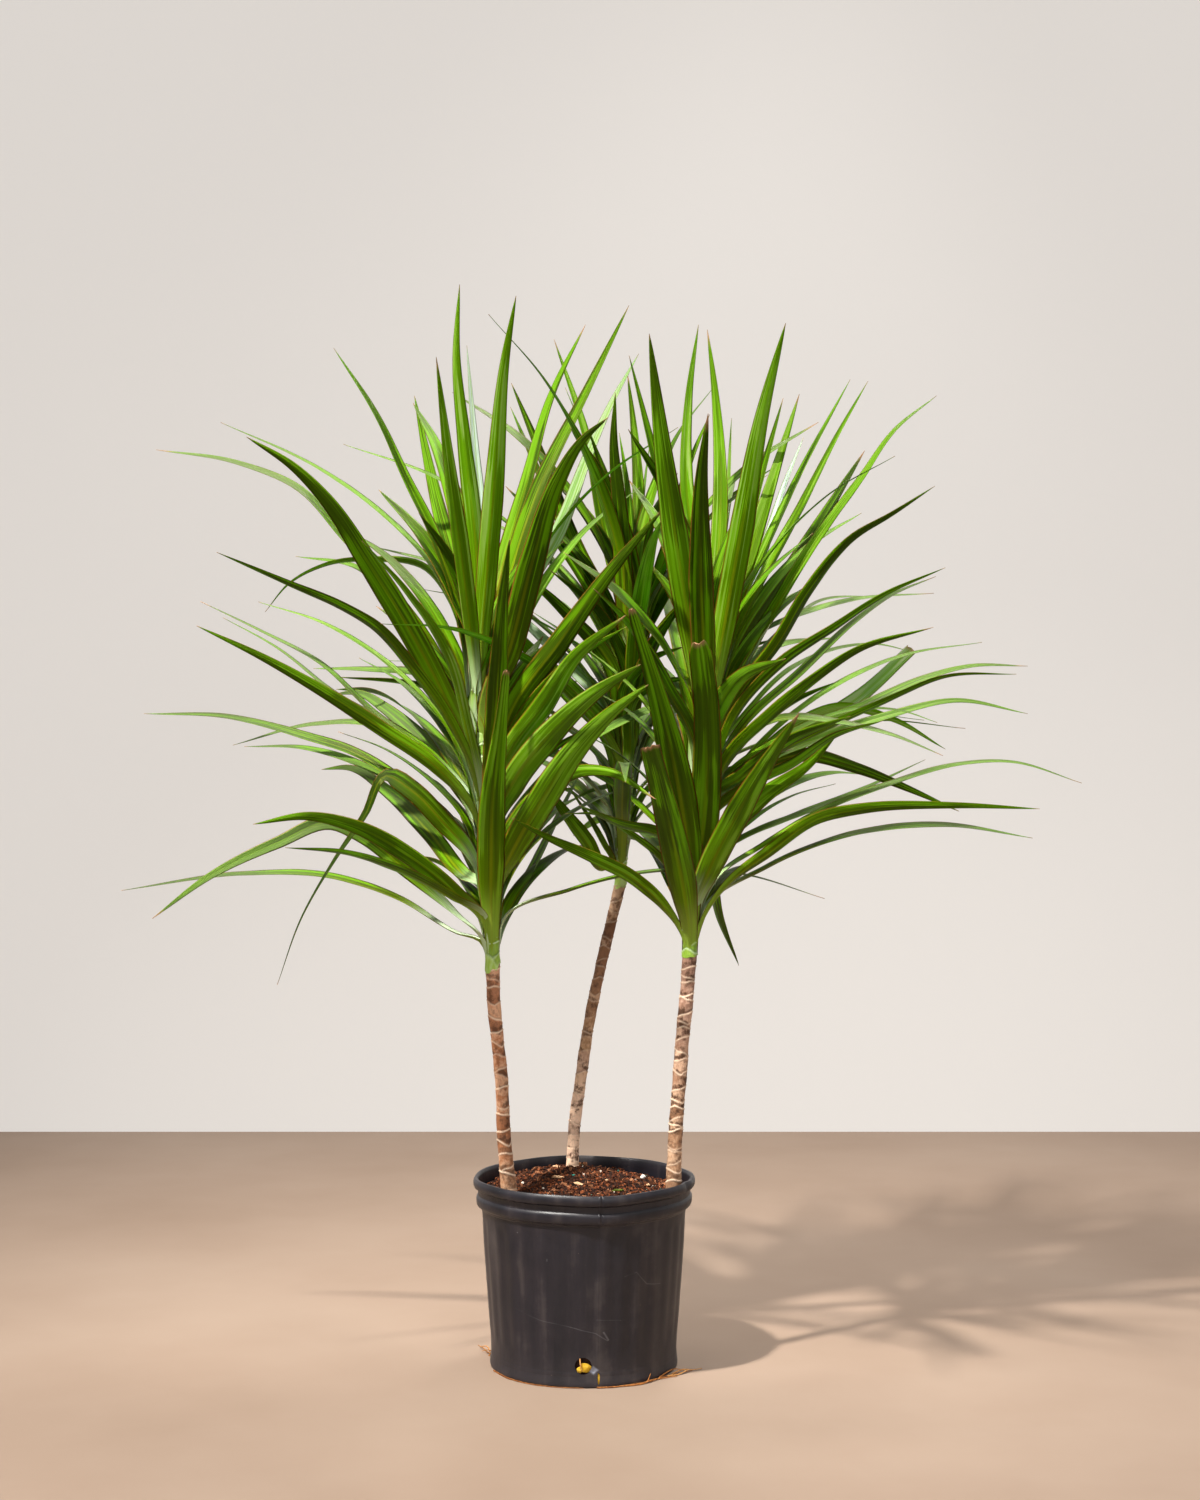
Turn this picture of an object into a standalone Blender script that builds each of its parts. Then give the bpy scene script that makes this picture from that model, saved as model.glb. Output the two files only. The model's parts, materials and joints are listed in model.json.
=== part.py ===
"""A potted dragon tree: three ringed canes, each with a head of long leaves, in a black nursery pot.

Metres, +Z up. The origin is the middle of the pot's flat base, and the plant's front faces -Y.
The leaves that make the outline are given as they look from the front viewpoint, on the upright plane
through the origin. The leaves behind them follow a seeded rule.
"""
import math
import random
from collections import namedtuple

import bmesh
import bpy
import numpy as np
from mathutils.bvhtree import BVHTree

# Clearances
GAP = 0.0003
BLADE_CLEARANCE = 0.0030

# Pot: a turned wall, given as radius and height from the base's edge up to the lip
POT_SIDES = 40
POT_FLOOR = 0.0030
POT_OUTLINE = (
    (0.1150, 0.0000), (0.1165, 0.0022), (0.1150, 0.0300), (0.1265, 0.1930), (0.1318, 0.1985),
    (0.1328, 0.2045), (0.1312, 0.2100), (0.1318, 0.2195), (0.1358, 0.2215), (0.1365, 0.2290),
    (0.1345, 0.2325),
)
POT_BORE = ((0.1298, 0.2310), (0.1295, 0.1990), (0.1245, 0.1930), (0.1135, 0.0300), (0.1135, POT_FLOOR))
DRAIN_DIAMETER = 0.0200
DRAIN_HEIGHT = 0.0265
DRAIN_COUNT = 4
DRAIN_SIDES = 12
DRAIN_REACH = (0.100, 0.130)

# Potting mix: a mound that stands highest behind the middle
SOIL_SIDE = 0.2080
SOIL_MOUND = 0.0190
SOIL_PEAK = (-0.020, 0.060)
SOIL_SPREAD = 0.065
SOIL_LUMP = 0.0012
SOIL_RINGS = (0.108, 0.084, 0.058, 0.030)

# Canes
CANE_SIDES = 8
CANE_FOOT = 0.110
CANE_FOOT_INSET = 0.86
CANE_RING = 0.0240
CANE_RING_RELIEF = 0.0005

# Green stems and leaves
STEM_SIDES = 8
COLLAR_RISE = 0.012
BLADE_THICKNESS = 0.0012
BLADE_FOLD = 0.12
NARROWEST_LEAF = 0.020
TIP_HALF_WIDTH = 0.0007
FREE_FROM = 0.35
GOLDEN_TURN = 0.618034

# The point from which the front view is given
VIEWPOINT = np.array((0.020, -2.813, 0.759))

# A cane or green stem: seen points from the bottom up, its depth there and at the top, and radii along it
Trunk = namedtuple("Trunk", "seen depth radii")

# A leaf: height of its root above the stem's foot, how far its tip lies behind its root (in front when
# negative), the width that shows, the seen points from root to tip, its kind of end, and its twist in degrees
Leaf = namedtuple("Leaf", "root depth width seen end twist", defaults=("point", 0))

# A head: its cane, its green stem, the leaves of the outline, and the number, middle direction and
# spread in degrees of those behind
Head = namedtuple("Head", "cane stem leaves hidden facing spread")

LEFT_CANE = Trunk(
    ((-0.093, 0.215), (-0.099, 0.280), (-0.102, 0.350), (-0.107, 0.400), (-0.1115, 0.445), (-0.113, 0.495)),
    (-0.035, -0.035), (0.0098, 0.0083, 0.0080, 0.0080, 0.0088))
BACK_CANE = Trunk(
    ((-0.0145, 0.243), (-0.011, 0.300), (-0.004, 0.350), (0.003, 0.400), (0.012, 0.450), (0.023, 0.500),
     (0.045, 0.592)),
    (0.090, 0.110), (0.0078, 0.0076, 0.0072, 0.0072, 0.0074))
RIGHT_CANE = Trunk(
    ((0.111, 0.215), (0.112, 0.250), (0.1145, 0.300), (0.1185, 0.350), (0.122, 0.400), (0.127, 0.450),
     (0.131, 0.505)),
    (-0.030, -0.030), (0.0095, 0.0086, 0.0086, 0.0086, 0.0088))

LEFT_STEM = Trunk(
    ((-0.113, 0.495), (-0.1165, 0.600), (-0.122, 0.700), (-0.128, 0.800), (-0.133, 0.900), (-0.134, 0.940)),
    (-0.035, -0.020), (0.0090, 0.0115, 0.0115, 0.0105, 0.0040))
BACK_STEM = Trunk(
    ((0.045, 0.592), (0.048, 0.660), (0.053, 0.740), (0.058, 0.820), (0.062, 0.900), (0.063, 0.940)),
    (0.110, 0.130), (0.0076, 0.0105, 0.0105, 0.0095, 0.0040))
RIGHT_STEM = Trunk(
    ((0.131, 0.505), (0.135, 0.600), (0.142, 0.700), (0.150, 0.800), (0.154, 0.900), (0.155, 0.940)),
    (-0.030, -0.015), (0.0090, 0.0115, 0.0115, 0.0105, 0.0040))

LEFT_LEAVES = (
    Leaf(0.006, 0.10, 0.009, ((-0.160, 0.532), (-0.230, 0.573), (-0.310, 0.600), (-0.420, 0.605),
                              (-0.573, 0.585))),
    Leaf(0.040, -0.25, 0.022, ((-0.160, 0.582), (-0.220, 0.630), (-0.280, 0.663), (-0.340, 0.677),
                               (-0.410, 0.667))),
    Leaf(0.020, -0.12, 0.022, ((-0.160, 0.555), (-0.220, 0.610), (-0.280, 0.656), (-0.310, 0.669),
                               (-0.380, 0.644), (-0.460, 0.605), (-0.535, 0.550))),
    Leaf(0.045, -0.28, 0.010, ((-0.160, 0.572), (-0.220, 0.605), (-0.290, 0.630), (-0.370, 0.638))),
    Leaf(0.070, -0.12, 0.029, ((-0.140, 0.625), (-0.175, 0.670), (-0.215, 0.710), (-0.245, 0.727),
                               (-0.270, 0.680), (-0.310, 0.620), (-0.350, 0.550), (-0.380, 0.468)),
         "point", 65),
    Leaf(0.080, 0.28, 0.022, ((-0.150, 0.605), (-0.190, 0.655), (-0.240, 0.705), (-0.290, 0.737),
                              (-0.325, 0.735))),
    Leaf(0.150, 0.28, 0.024, ((-0.150, 0.710), (-0.185, 0.755), (-0.215, 0.785), (-0.245, 0.810),
                              (-0.280, 0.830), (-0.310, 0.828))),
    Leaf(0.140, 0.16, 0.010, ((-0.160, 0.710), (-0.210, 0.755), (-0.260, 0.788), (-0.330, 0.791),
                              (-0.435, 0.765))),
    Leaf(0.110, 0.20, 0.014, ((-0.160, 0.665), (-0.220, 0.715), (-0.280, 0.753), (-0.350, 0.777),
                              (-0.440, 0.800), (-0.545, 0.804))),
    Leaf(0.170, -0.15, 0.021, ((-0.180, 0.735), (-0.250, 0.785), (-0.330, 0.836), (-0.400, 0.875),
                               (-0.480, 0.913))),
    Leaf(0.180, 0.18, 0.008, ((-0.180, 0.745), (-0.260, 0.803), (-0.330, 0.868), (-0.400, 0.906),
                              (-0.475, 0.943))),
    Leaf(0.160, 0.28, 0.007, ((-0.200, 0.760), (-0.310, 0.829), (-0.380, 0.885), (-0.447, 0.923))),
    Leaf(0.240, 0.35, 0.011, ((-0.160, 0.810), (-0.200, 0.850), (-0.260, 0.858), (-0.335, 0.860))),
    Leaf(0.210, -0.25, 0.014, ((-0.165, 0.790), (-0.210, 0.855), (-0.260, 0.912), (-0.300, 0.936),
                               (-0.370, 0.967), (-0.455, 1.004))),
    Leaf(0.260, 0.12, 0.014, ((-0.180, 0.870), (-0.240, 0.955), (-0.300, 1.025), (-0.350, 1.080),
                              (-0.430, 1.115), (-0.530, 1.131))),
    Leaf(0.300, 0.22, 0.007, ((-0.155, 0.910), (-0.190, 0.985), (-0.250, 1.050), (-0.330, 1.108),
                              (-0.450, 1.165))),
    Leaf(0.240, -0.20, 0.027, ((-0.175, 0.830), (-0.220, 0.915), (-0.270, 0.995), (-0.320, 1.070),
                               (-0.360, 1.110), (-0.418, 1.147))),
    Leaf(0.250, 0.35, 0.012, ((-0.180, 0.860), (-0.230, 0.935), (-0.280, 0.984), (-0.357, 0.999))),
    Leaf(0.300, 0.28, 0.010, ((-0.160, 0.930), (-0.200, 0.985), (-0.260, 0.994), (-0.320, 0.988),
                              (-0.365, 0.965), (-0.395, 0.930))),
    Leaf(0.210, -0.22, 0.012, ((-0.145, 0.780), (-0.172, 0.880), (-0.220, 0.955), (-0.275, 1.018))),
    Leaf(0.300, 0.06, 0.013, ((-0.153, 0.920), (-0.185, 1.020), (-0.223, 1.100), (-0.255, 1.170),
                              (-0.310, 1.257))),
    Leaf(0.310, 0.28, 0.022, ((-0.155, 0.960), (-0.185, 1.080), (-0.210, 1.198))),
    Leaf(0.330, -0.22, 0.019, ((-0.148, 0.970), (-0.168, 1.120), (-0.183, 1.246))),
    Leaf(0.350, -0.08, 0.020, ((-0.133, 1.000), (-0.148, 1.140), (-0.158, 1.250), (-0.154, 1.336))),
    Leaf(0.350, 0.20, 0.013, ((-0.129, 1.040), (-0.137, 1.150), (-0.145, 1.260))),
    Leaf(0.340, -0.16, 0.024, ((-0.120, 0.980), (-0.110, 1.100), (-0.098, 1.240), (-0.084, 1.322))),
    Leaf(0.330, 0.25, 0.017, ((-0.105, 0.970), (-0.073, 1.080), (-0.038, 1.203), (0.002, 1.286))),
    Leaf(0.320, 0.15, 0.018, ((-0.095, 0.960), (-0.055, 1.085), (0.003, 1.203), (0.056, 1.310))),
    Leaf(0.290, -0.30, 0.030, ((-0.093, 0.880), (-0.063, 0.995), (-0.033, 1.090), (0.000, 1.145),
                               (0.030, 1.171))),
    Leaf(0.300, 0.22, 0.018, ((-0.080, 0.940), (-0.030, 1.030), (0.008, 1.130), (0.035, 1.190),
                              (0.068, 1.250))),
    Leaf(0.190, -0.34, 0.024, ((-0.093, 0.755), (-0.050, 0.815), (-0.010, 0.875), (0.052, 0.926))),
    Leaf(0.210, -0.05, 0.026, ((-0.093, 0.800), (-0.030, 0.893), (0.035, 0.983), (0.100, 1.060))),
    Leaf(0.140, -0.36, 0.030, ((-0.090, 0.715), (-0.045, 0.775), (0.005, 0.823), (0.070, 0.865))),
    Leaf(0.080, -0.32, 0.032, ((-0.090, 0.630), (-0.050, 0.700), (-0.010, 0.760), (0.030, 0.802),
                               (0.080, 0.840))),
    Leaf(0.090, -0.26, 0.020, ((-0.085, 0.668), (-0.050, 0.708), (-0.010, 0.732), (0.030, 0.732),
                               (0.089, 0.698))),
    Leaf(0.030, 0.22, 0.010, ((-0.093, 0.555), (-0.060, 0.615), (-0.040, 0.658), (0.000, 0.740))),
    Leaf(0.040, -0.20, 0.027, ((-0.115, 0.620), (-0.113, 0.700), (-0.103, 0.790), (-0.096, 0.857)), "cut"),
    Leaf(0.160, -0.26, 0.024, ((-0.113, 0.740), (-0.106, 0.860), (-0.099, 0.960), (-0.092, 1.020))),
)

RIGHT_LEAVES = (
    Leaf(0.015, -0.12, 0.019, ((0.100, 0.563), (0.060, 0.600), (0.010, 0.626), (-0.050, 0.653),
                               (-0.090, 0.675))),
    Leaf(0.025, -0.15, 0.017, ((0.175, 0.588), (0.230, 0.632), (0.290, 0.673), (0.350, 0.686),
                               (0.460, 0.690), (0.565, 0.686))),
    Leaf(0.050, 0.05, 0.009, ((0.165, 0.598), (0.225, 0.640), (0.310, 0.689), (0.380, 0.716),
                              (0.460, 0.740), (0.530, 0.744), (0.617, 0.718))),
    Leaf(0.100, 0.25, 0.009, ((0.190, 0.644), (0.270, 0.679), (0.350, 0.712), (0.423, 0.747))),
    Leaf(0.190, 0.20, 0.017, ((0.210, 0.745), (0.265, 0.790), (0.315, 0.811), (0.380, 0.798),
                              (0.448, 0.760))),
    Leaf(0.190, 0.24, 0.022, ((0.220, 0.740), (0.290, 0.790), (0.350, 0.832), (0.406, 0.884)), "cut"),
    Leaf(0.170, 0.12, 0.014, ((0.200, 0.735), (0.270, 0.780), (0.350, 0.815), (0.420, 0.847),
                              (0.480, 0.863), (0.550, 0.863))),
    Leaf(0.170, -0.05, 0.011, ((0.200, 0.730), (0.280, 0.775), (0.370, 0.817), (0.450, 0.850),
                               (0.536, 0.853))),
    Leaf(0.150, 0.18, 0.014, ((0.220, 0.740), (0.300, 0.775), (0.380, 0.802), (0.460, 0.820),
                              (0.550, 0.804))),
    Leaf(0.180, 0.06, 0.007, ((0.250, 0.775), (0.340, 0.809), (0.390, 0.808), (0.438, 0.793))),
    Leaf(0.220, -0.12, 0.010, ((0.180, 0.760), (0.240, 0.796), (0.320, 0.792), (0.380, 0.778),
                               (0.445, 0.752))),
    Leaf(0.150, 0.14, 0.021, ((0.200, 0.725), (0.270, 0.753), (0.340, 0.736), (0.400, 0.712),
                              (0.465, 0.683))),
    Leaf(0.140, -0.26, 0.013, ((0.200, 0.710), (0.260, 0.742), (0.310, 0.776), (0.370, 0.795))),
    Leaf(0.160, -0.30, 0.016, ((0.200, 0.728), (0.260, 0.773), (0.330, 0.801))),
    Leaf(0.160, -0.18, 0.016, ((0.180, 0.750), (0.230, 0.800), (0.280, 0.842), (0.340, 0.883),
                               (0.433, 0.911))),
    Leaf(0.220, -0.34, 0.024, ((0.165, 0.810), (0.195, 0.850), (0.250, 0.872))),
    Leaf(0.220, 0.25, 0.007, ((0.200, 0.800), (0.260, 0.860), (0.310, 0.883), (0.360, 0.890),
                              (0.410, 0.880))),
    Leaf(0.200, -0.10, 0.014, ((0.190, 0.805), (0.245, 0.866), (0.310, 0.910), (0.370, 0.950),
                               (0.448, 0.985))),
    Leaf(0.200, 0.14, 0.012, ((0.200, 0.790), (0.270, 0.855), (0.330, 0.913), (0.380, 0.950),
                              (0.436, 0.974))),
    Leaf(0.240, 0.32, 0.007, ((0.200, 0.850), (0.250, 0.910), (0.290, 0.942), (0.363, 0.950))),
    Leaf(0.250, -0.14, 0.015, ((0.195, 0.830), (0.240, 0.890), (0.280, 0.958), (0.335, 1.023),
                               (0.380, 1.050), (0.435, 1.086))),
    Leaf(0.270, 0.15, 0.013, ((0.185, 0.850), (0.235, 0.930), (0.290, 1.020), (0.345, 1.097),
                              (0.385, 1.155), (0.437, 1.198))),
    Leaf(0.270, 0.26, 0.023, ((0.190, 0.870), (0.240, 0.955), (0.295, 1.045), (0.348, 1.130))),
    Leaf(0.300, 0.14, 0.012, ((0.185, 0.890), (0.225, 0.975), (0.270, 1.060), (0.315, 1.150),
                              (0.352, 1.216))),
    Leaf(0.300, 0.22, 0.011, ((0.180, 0.900), (0.220, 0.995), (0.265, 1.095), (0.330, 1.218))),
    Leaf(0.310, 0.30, 0.014, ((0.185, 0.910), (0.225, 1.010), (0.250, 1.090), (0.272, 1.146))),
    Leaf(0.320, 0.16, 0.020, ((0.183, 0.930), (0.220, 1.050), (0.267, 1.200))),
    Leaf(0.320, 0.04, 0.015, ((0.180, 0.930), (0.210, 1.060), (0.247, 1.195))),
    Leaf(0.300, -0.16, 0.028, ((0.172, 0.900), (0.195, 1.030), (0.220, 1.170), (0.250, 1.288))),
    Leaf(0.330, 0.28, 0.010, ((0.165, 0.930), (0.178, 1.060), (0.183, 1.170))),
    Leaf(0.330, 0.15, 0.019, ((0.163, 0.950), (0.170, 1.080), (0.163, 1.200), (0.153, 1.280))),
    Leaf(0.330, 0.24, 0.018, ((0.143, 0.960), (0.126, 1.100), (0.130, 1.200), (0.142, 1.286))),
    Leaf(0.300, -0.14, 0.030, ((0.136, 0.880), (0.120, 0.980), (0.097, 1.140), (0.081, 1.275))),
    Leaf(0.310, 0.03, 0.015, ((0.125, 0.950), (0.085, 1.130), (0.056, 1.248))),
    Leaf(0.280, -0.26, 0.028, ((0.149, 0.860), (0.145, 0.980), (0.146, 1.100), (0.154, 1.176))),
    Leaf(0.060, -0.22, 0.029, ((0.142, 0.610), (0.152, 0.720), (0.152, 0.810), (0.143, 0.892)), "cut"),
    Leaf(0.045, -0.25, 0.031, ((0.130, 0.620), (0.116, 0.720), (0.090, 0.830), (0.059, 0.933)), "cut"),
    Leaf(0.010, -0.26, 0.028, ((0.126, 0.570), (0.110, 0.650), (0.082, 0.762)), "cut"),
    Leaf(0.050, -0.30, 0.029, ((0.153, 0.605), (0.185, 0.670), (0.225, 0.740), (0.267, 0.805))),
    Leaf(0.090, -0.16, 0.022, ((0.170, 0.650), (0.220, 0.700), (0.280, 0.743), (0.315, 0.780))),
    Leaf(0.090, 0.22, 0.012, ((0.148, 0.635), (0.154, 0.612), (0.166, 0.555), (0.192, 0.492))),
    Leaf(0.070, -0.08, 0.010, ((0.103, 0.613), (0.055, 0.656), (0.020, 0.678), (-0.023, 0.680))),
    Leaf(0.120, -0.20, 0.013, ((0.095, 0.653), (0.045, 0.667), (-0.005, 0.690))),
    Leaf(0.220, -0.30, 0.015, ((0.100, 0.840), (0.050, 0.922), (0.012, 0.959))),
)

BACK_LEAVES = (
    Leaf(0.004, -0.06, 0.018, ((0.026, 0.610), (0.003, 0.645), (-0.023, 0.680), (-0.055, 0.725))),
    Leaf(0.020, -0.02, 0.007, ((0.023, 0.640), (0.003, 0.678), (-0.020, 0.715))),
    Leaf(0.250, 0.16, 0.016, ((0.046, 0.930), (0.024, 1.030), (0.003, 1.145), (-0.037, 1.268))),
    Leaf(0.260, 0.22, 0.007, ((0.040, 0.950), (0.015, 1.110), (-0.023, 1.208))),
    Leaf(0.220, 0.12, 0.021, ((0.035, 0.920), (-0.010, 1.010), (-0.055, 1.130), (-0.090, 1.214))),
    Leaf(0.230, 0.18, 0.016, ((0.025, 0.920), (-0.040, 1.065), (-0.091, 1.184))),
    Leaf(0.210, 0.02, 0.020, ((0.030, 0.915), (-0.025, 1.010), (-0.097, 1.086))),
    Leaf(0.270, -0.06, 0.023, ((0.050, 0.960), (0.044, 1.060), (0.037, 1.140), (0.039, 1.202))),
    Leaf(0.250, -0.02, 0.019, ((0.070, 0.930), (0.042, 1.055), (0.005, 1.158))),
    Leaf(0.270, 0.08, 0.013, ((0.063, 0.970), (0.057, 1.070), (0.044, 1.152))),
    Leaf(0.280, 0.16, 0.018, ((0.068, 0.970), (0.069, 1.070), (0.061, 1.170), (0.054, 1.226))),
    Leaf(0.270, 0.26, 0.008, ((0.070, 0.980), (0.075, 1.080), (0.082, 1.140))),
    Leaf(0.240, 0.10, 0.016, ((0.080, 0.920), (0.110, 1.030), (0.130, 1.110), (0.156, 1.175))),
    Leaf(0.180, -0.05, 0.020, ((0.035, 0.860), (-0.020, 0.927), (-0.060, 0.963), (-0.100, 0.984))),
    Leaf(0.200, -0.10, 0.015, ((0.055, 0.840), (0.020, 0.927), (-0.042, 0.982))),
    Leaf(0.150, 0.06, 0.018, ((0.030, 0.805), (-0.030, 0.875), (-0.085, 0.930), (-0.120, 0.970))),
    Leaf(0.130, 0.00, 0.028, ((0.035, 0.770), (-0.020, 0.835), (-0.085, 0.903), (-0.120, 0.945))),
    Leaf(0.190, -0.14, 0.018, ((0.065, 0.820), (0.085, 0.890), (0.118, 0.939))),
    Leaf(0.170, -0.12, 0.016, ((0.055, 0.840), (0.085, 0.872), (0.124, 0.887))),
    Leaf(0.160, -0.10, 0.016, ((0.065, 0.825), (0.100, 0.843), (0.137, 0.849))),
)

HEADS = {
    "left": Head(LEFT_CANE, LEFT_STEM, LEFT_LEAVES, 15, 90, 160),
    "right": Head(RIGHT_CANE, RIGHT_STEM, RIGHT_LEAVES, 14, 90, 160),
    "back": Head(BACK_CANE, BACK_STEM, BACK_LEAVES, 22, 90, 300),
}
HIDDEN_LENGTH = (0.40, 0.52)
HIDDEN_WIDTH = (0.020, 0.028)
HIDDEN_LIFT = (18.0, 68.0)
HIDDEN_ARCH = 14.0
HIDDEN_SEED = 7


def smooth_route(points, count):
    """Give count evenly spaced points on a smooth curve through the points."""
    points = np.array(points, dtype=float)
    along = np.concatenate(([0.0], np.cumsum(np.linalg.norm(np.diff(points, axis=0), axis=1))))
    slope = np.gradient(points, along, axis=0)
    place = np.linspace(0.0, along[-1], count)
    start = np.clip(np.searchsorted(along, place, side="right") - 1, 0, len(points) - 2)
    span = (along[start + 1] - along[start])[:, None]
    t = (place - along[start])[:, None] / span
    ends = points[start] + (3 * t**2 - 2 * t**3) * (points[start + 1] - points[start])
    bends = (t**3 - 2 * t**2 + t) * slope[start] + (t**3 - t**2) * slope[start + 1]
    return ends + bends * span


def unit(vectors):
    """Scale one vector, or each row of an array, to length 1."""
    return vectors / np.linalg.norm(vectors, axis=-1, keepdims=True)


def ease(values):
    """Rise smoothly from 0 to 1."""
    values = np.clip(values, 0.0, 1.0)
    return values * values * (3 - 2 * values)


def behind_view(seen, depth):
    """Turn a point of the front view into the place at that depth which looks the same."""
    flat = np.array((seen[0], 0.0, seen[1]))
    return VIEWPOINT + (flat - VIEWPOINT) * (depth - VIEWPOINT[1]) / -VIEWPOINT[1]


def trunk_route(trunk, count):
    """Give count points up the middle of a cane or a green stem."""
    depths = np.linspace(*trunk.depth, len(trunk.seen))
    return smooth_route([behind_view(seen, depth) for seen, depth in zip(trunk.seen, depths)], count)


def leaf_route(leaf, stem, swing):
    """Give the points that a leaf passes, its tip moved by swing towards the back."""
    root = stem_point(stem, leaf.root)
    steps = np.cumsum([math.dist(a, b) for a, b in zip(((root[0], root[2]),) + leaf.seen[:-1], leaf.seen)])
    depths = root[1] + (leaf.depth + swing) * steps / steps[-1]
    seen = [behind_view(point, depth) for point, depth in zip(leaf.seen, depths)]
    return rooted(root, seen)


def stem_point(stem, height):
    """Give the point of a green stem's middle line at a height above its foot."""
    route = trunk_route(stem, 20)
    heights = route[:, 2] - route[0, 2]
    return np.array([np.interp(height, heights, route[:, axis]) for axis in range(3)])


def rooted(root, places):
    """Lead a leaf from the stem's middle through its collar to its places."""
    outward = unit((places[0] - root) * (1, 1, 0))
    collar = root + outward * COLLAR_RISE + np.array((0, 0, COLLAR_RISE))
    return [root, collar] + list(places)


def hidden_route(stem, root_height, facing, lift, length):
    """Give the points of a leaf behind the outline, which rises at its lift and arches over."""
    root = stem_point(stem, root_height)
    places = []
    place = root
    for arch in (HIDDEN_ARCH, 0.0, -HIDDEN_ARCH, -2 * HIDDEN_ARCH):
        rise = math.radians(lift + arch)
        step = (math.cos(rise) * math.cos(facing), math.cos(rise) * math.sin(facing), math.sin(rise))
        place = place + np.array(step) * length / 4
        places.append(place)
    return rooted(root, places)


def leaf_frame(route, count, turn, twist):
    """Give a leaf's middle line, its sideways direction and its upward face at count stations.

    The blade clasps the stem at its root. Further out it rolls until it is turned by turn radians from
    facing the viewpoint, or stays level where turn is None, and it twists on towards its tip.
    """
    middle = smooth_route(route, count)
    along = unit(np.gradient(middle, axis=0))
    share = np.linspace(0.0, 1.0, count)
    outward = unit((route[2] - route[0]) * (1, 1, 0))
    level = np.cross((0, 0, 1), outward)
    clasp = unit(level - along * (along @ level)[:, None])
    top = np.cross(along, clasp)
    roll = math.radians(twist) * ease(share * 2 - 0.6)
    if turn is not None:
        across = np.cross(along, middle - VIEWPOINT)
        facing = np.unwrap(np.arctan2(np.sum(across * top, axis=1), np.sum(across * clasp, axis=1)))
        ways = [facing + math.pi * half + tilt for half in range(-3, 4) for tilt in (-turn, turn)]
        nearest = min(ways, key=lambda angles: abs(angles[count // 3:].mean()))
        roll = roll + nearest * ease(share / FREE_FROM)
    roll = roll[:, None]
    side = clasp * np.cos(roll) + top * np.sin(roll)
    return middle, side, np.cross(along, side)


def half_widths(width, count, end):
    """Give half the blade's width at each station: narrow at the root, tapering to a point or cut off."""
    share = np.linspace(0.0, 1.0, count)
    swell = 0.35 + 0.65 * ease(share / FREE_FROM)
    taper = np.ones(count) if end == "cut" else np.minimum(1.0, ((1 - share) / 0.6) ** 0.65)
    return np.maximum(width / 2 * swell * taper, TIP_HALF_WIDTH)


def blade_mesh(frame, halves, grow=0.0):
    """Give the corners and triangles of a closed blade with a shallow fold along its middle."""
    middle, side, up = frame
    halves = halves[:, None] + grow
    raised = up * halves * BLADE_FOLD
    thick = up * (BLADE_THICKNESS / 2 + grow)
    rows = (middle - side * halves + raised, middle - thick, middle + side * halves + raised, middle + thick)
    corners = np.stack(rows, axis=1).reshape(-1, 3)
    last = len(corners) - 4
    faces = [(0, 3, 1), (3, 2, 1), (last, last + 1, last + 3), (last + 1, last + 2, last + 3)]
    for first in range(0, last, 4):
        for edge in range(4):
            near, ahead = first + edge, first + (edge + 1) % 4
            if edge % 2 == 0:
                faces += [(near, ahead, ahead + 4), (near, ahead + 4, near + 4)]
            else:
                faces += [(near, ahead, near + 4), (ahead, ahead + 4, near + 4)]
    return corners, faces


class Blade:
    """One leaf blade on a head, with the trees that say what it would cross."""

    def __init__(self, head, route, width, turn=None, twist=0, end="point"):
        self.head = head
        self.count = len(route) + 2
        self.frame = leaf_frame(route, self.count, turn, twist)
        self.halves = half_widths(width, self.count, end)

    def mesh(self):
        """Give the blade's own corners and triangles."""
        return blade_mesh(self.frame, self.halves)

    def tree(self, grow=0.0, outer=False):
        """Give the blade, or its part clear of the stem, as a tree for finding crossings."""
        first = round(self.count * FREE_FROM) if outer else 0
        frame = [rows[first:] for rows in self.frame]
        return BVHTree.FromPolygons(*map(list, blade_mesh(frame, self.halves[first:], grow)))


class Thicket:
    """What stands so far: blades, and the solids that no blade may touch."""

    def __init__(self):
        self.blades = []
        self.wholes = []
        self.outers = []
        self.solids = []

    def add_solid(self, head, mesh):
        """Stand a solid that belongs to a head, or to none."""
        self.solids.append((head, BVHTree.FromPolygons(*map(list, mesh))))

    def crossings(self, blade):
        """Count what a blade would cross: first other pieces, then blades of its own head."""
        guard = blade.tree(BLADE_CLEARANCE)
        others = sum(bool(guard.overlap(tree)) for head, tree in self.solids if head != blade.head)
        others += sum(bool(guard.overlap(tree)) for placed, tree in zip(self.blades, self.wholes)
                      if placed.head != blade.head)
        outer = blade.tree(BLADE_THICKNESS, outer=True)
        own = sum(bool(outer.overlap(tree)) for placed, tree in zip(self.blades, self.outers)
                  if placed.head == blade.head)
        return others, own

    def add_clear(self, choices):
        """Take the first of the choices that crosses nothing, or else the one that crosses least.

        A leaf that would cross another head, a cane or the pot in every choice is left out.
        """
        best = None
        for blade in choices:
            found = self.crossings(blade)
            if best is None or found < best[0]:
                best = (found, blade)
            if found == (0, 0):
                break
        (others, _), blade = best
        if others:
            return
        self.blades.append(blade)
        self.wholes.append(blade.tree())
        self.outers.append(blade.tree(outer=True))


def swings(step, most):
    """Give 0 and then ever wider steps to either side."""
    yield 0.0
    for reach in np.arange(step, most + step / 2, step):
        yield reach
        yield -reach


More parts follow.
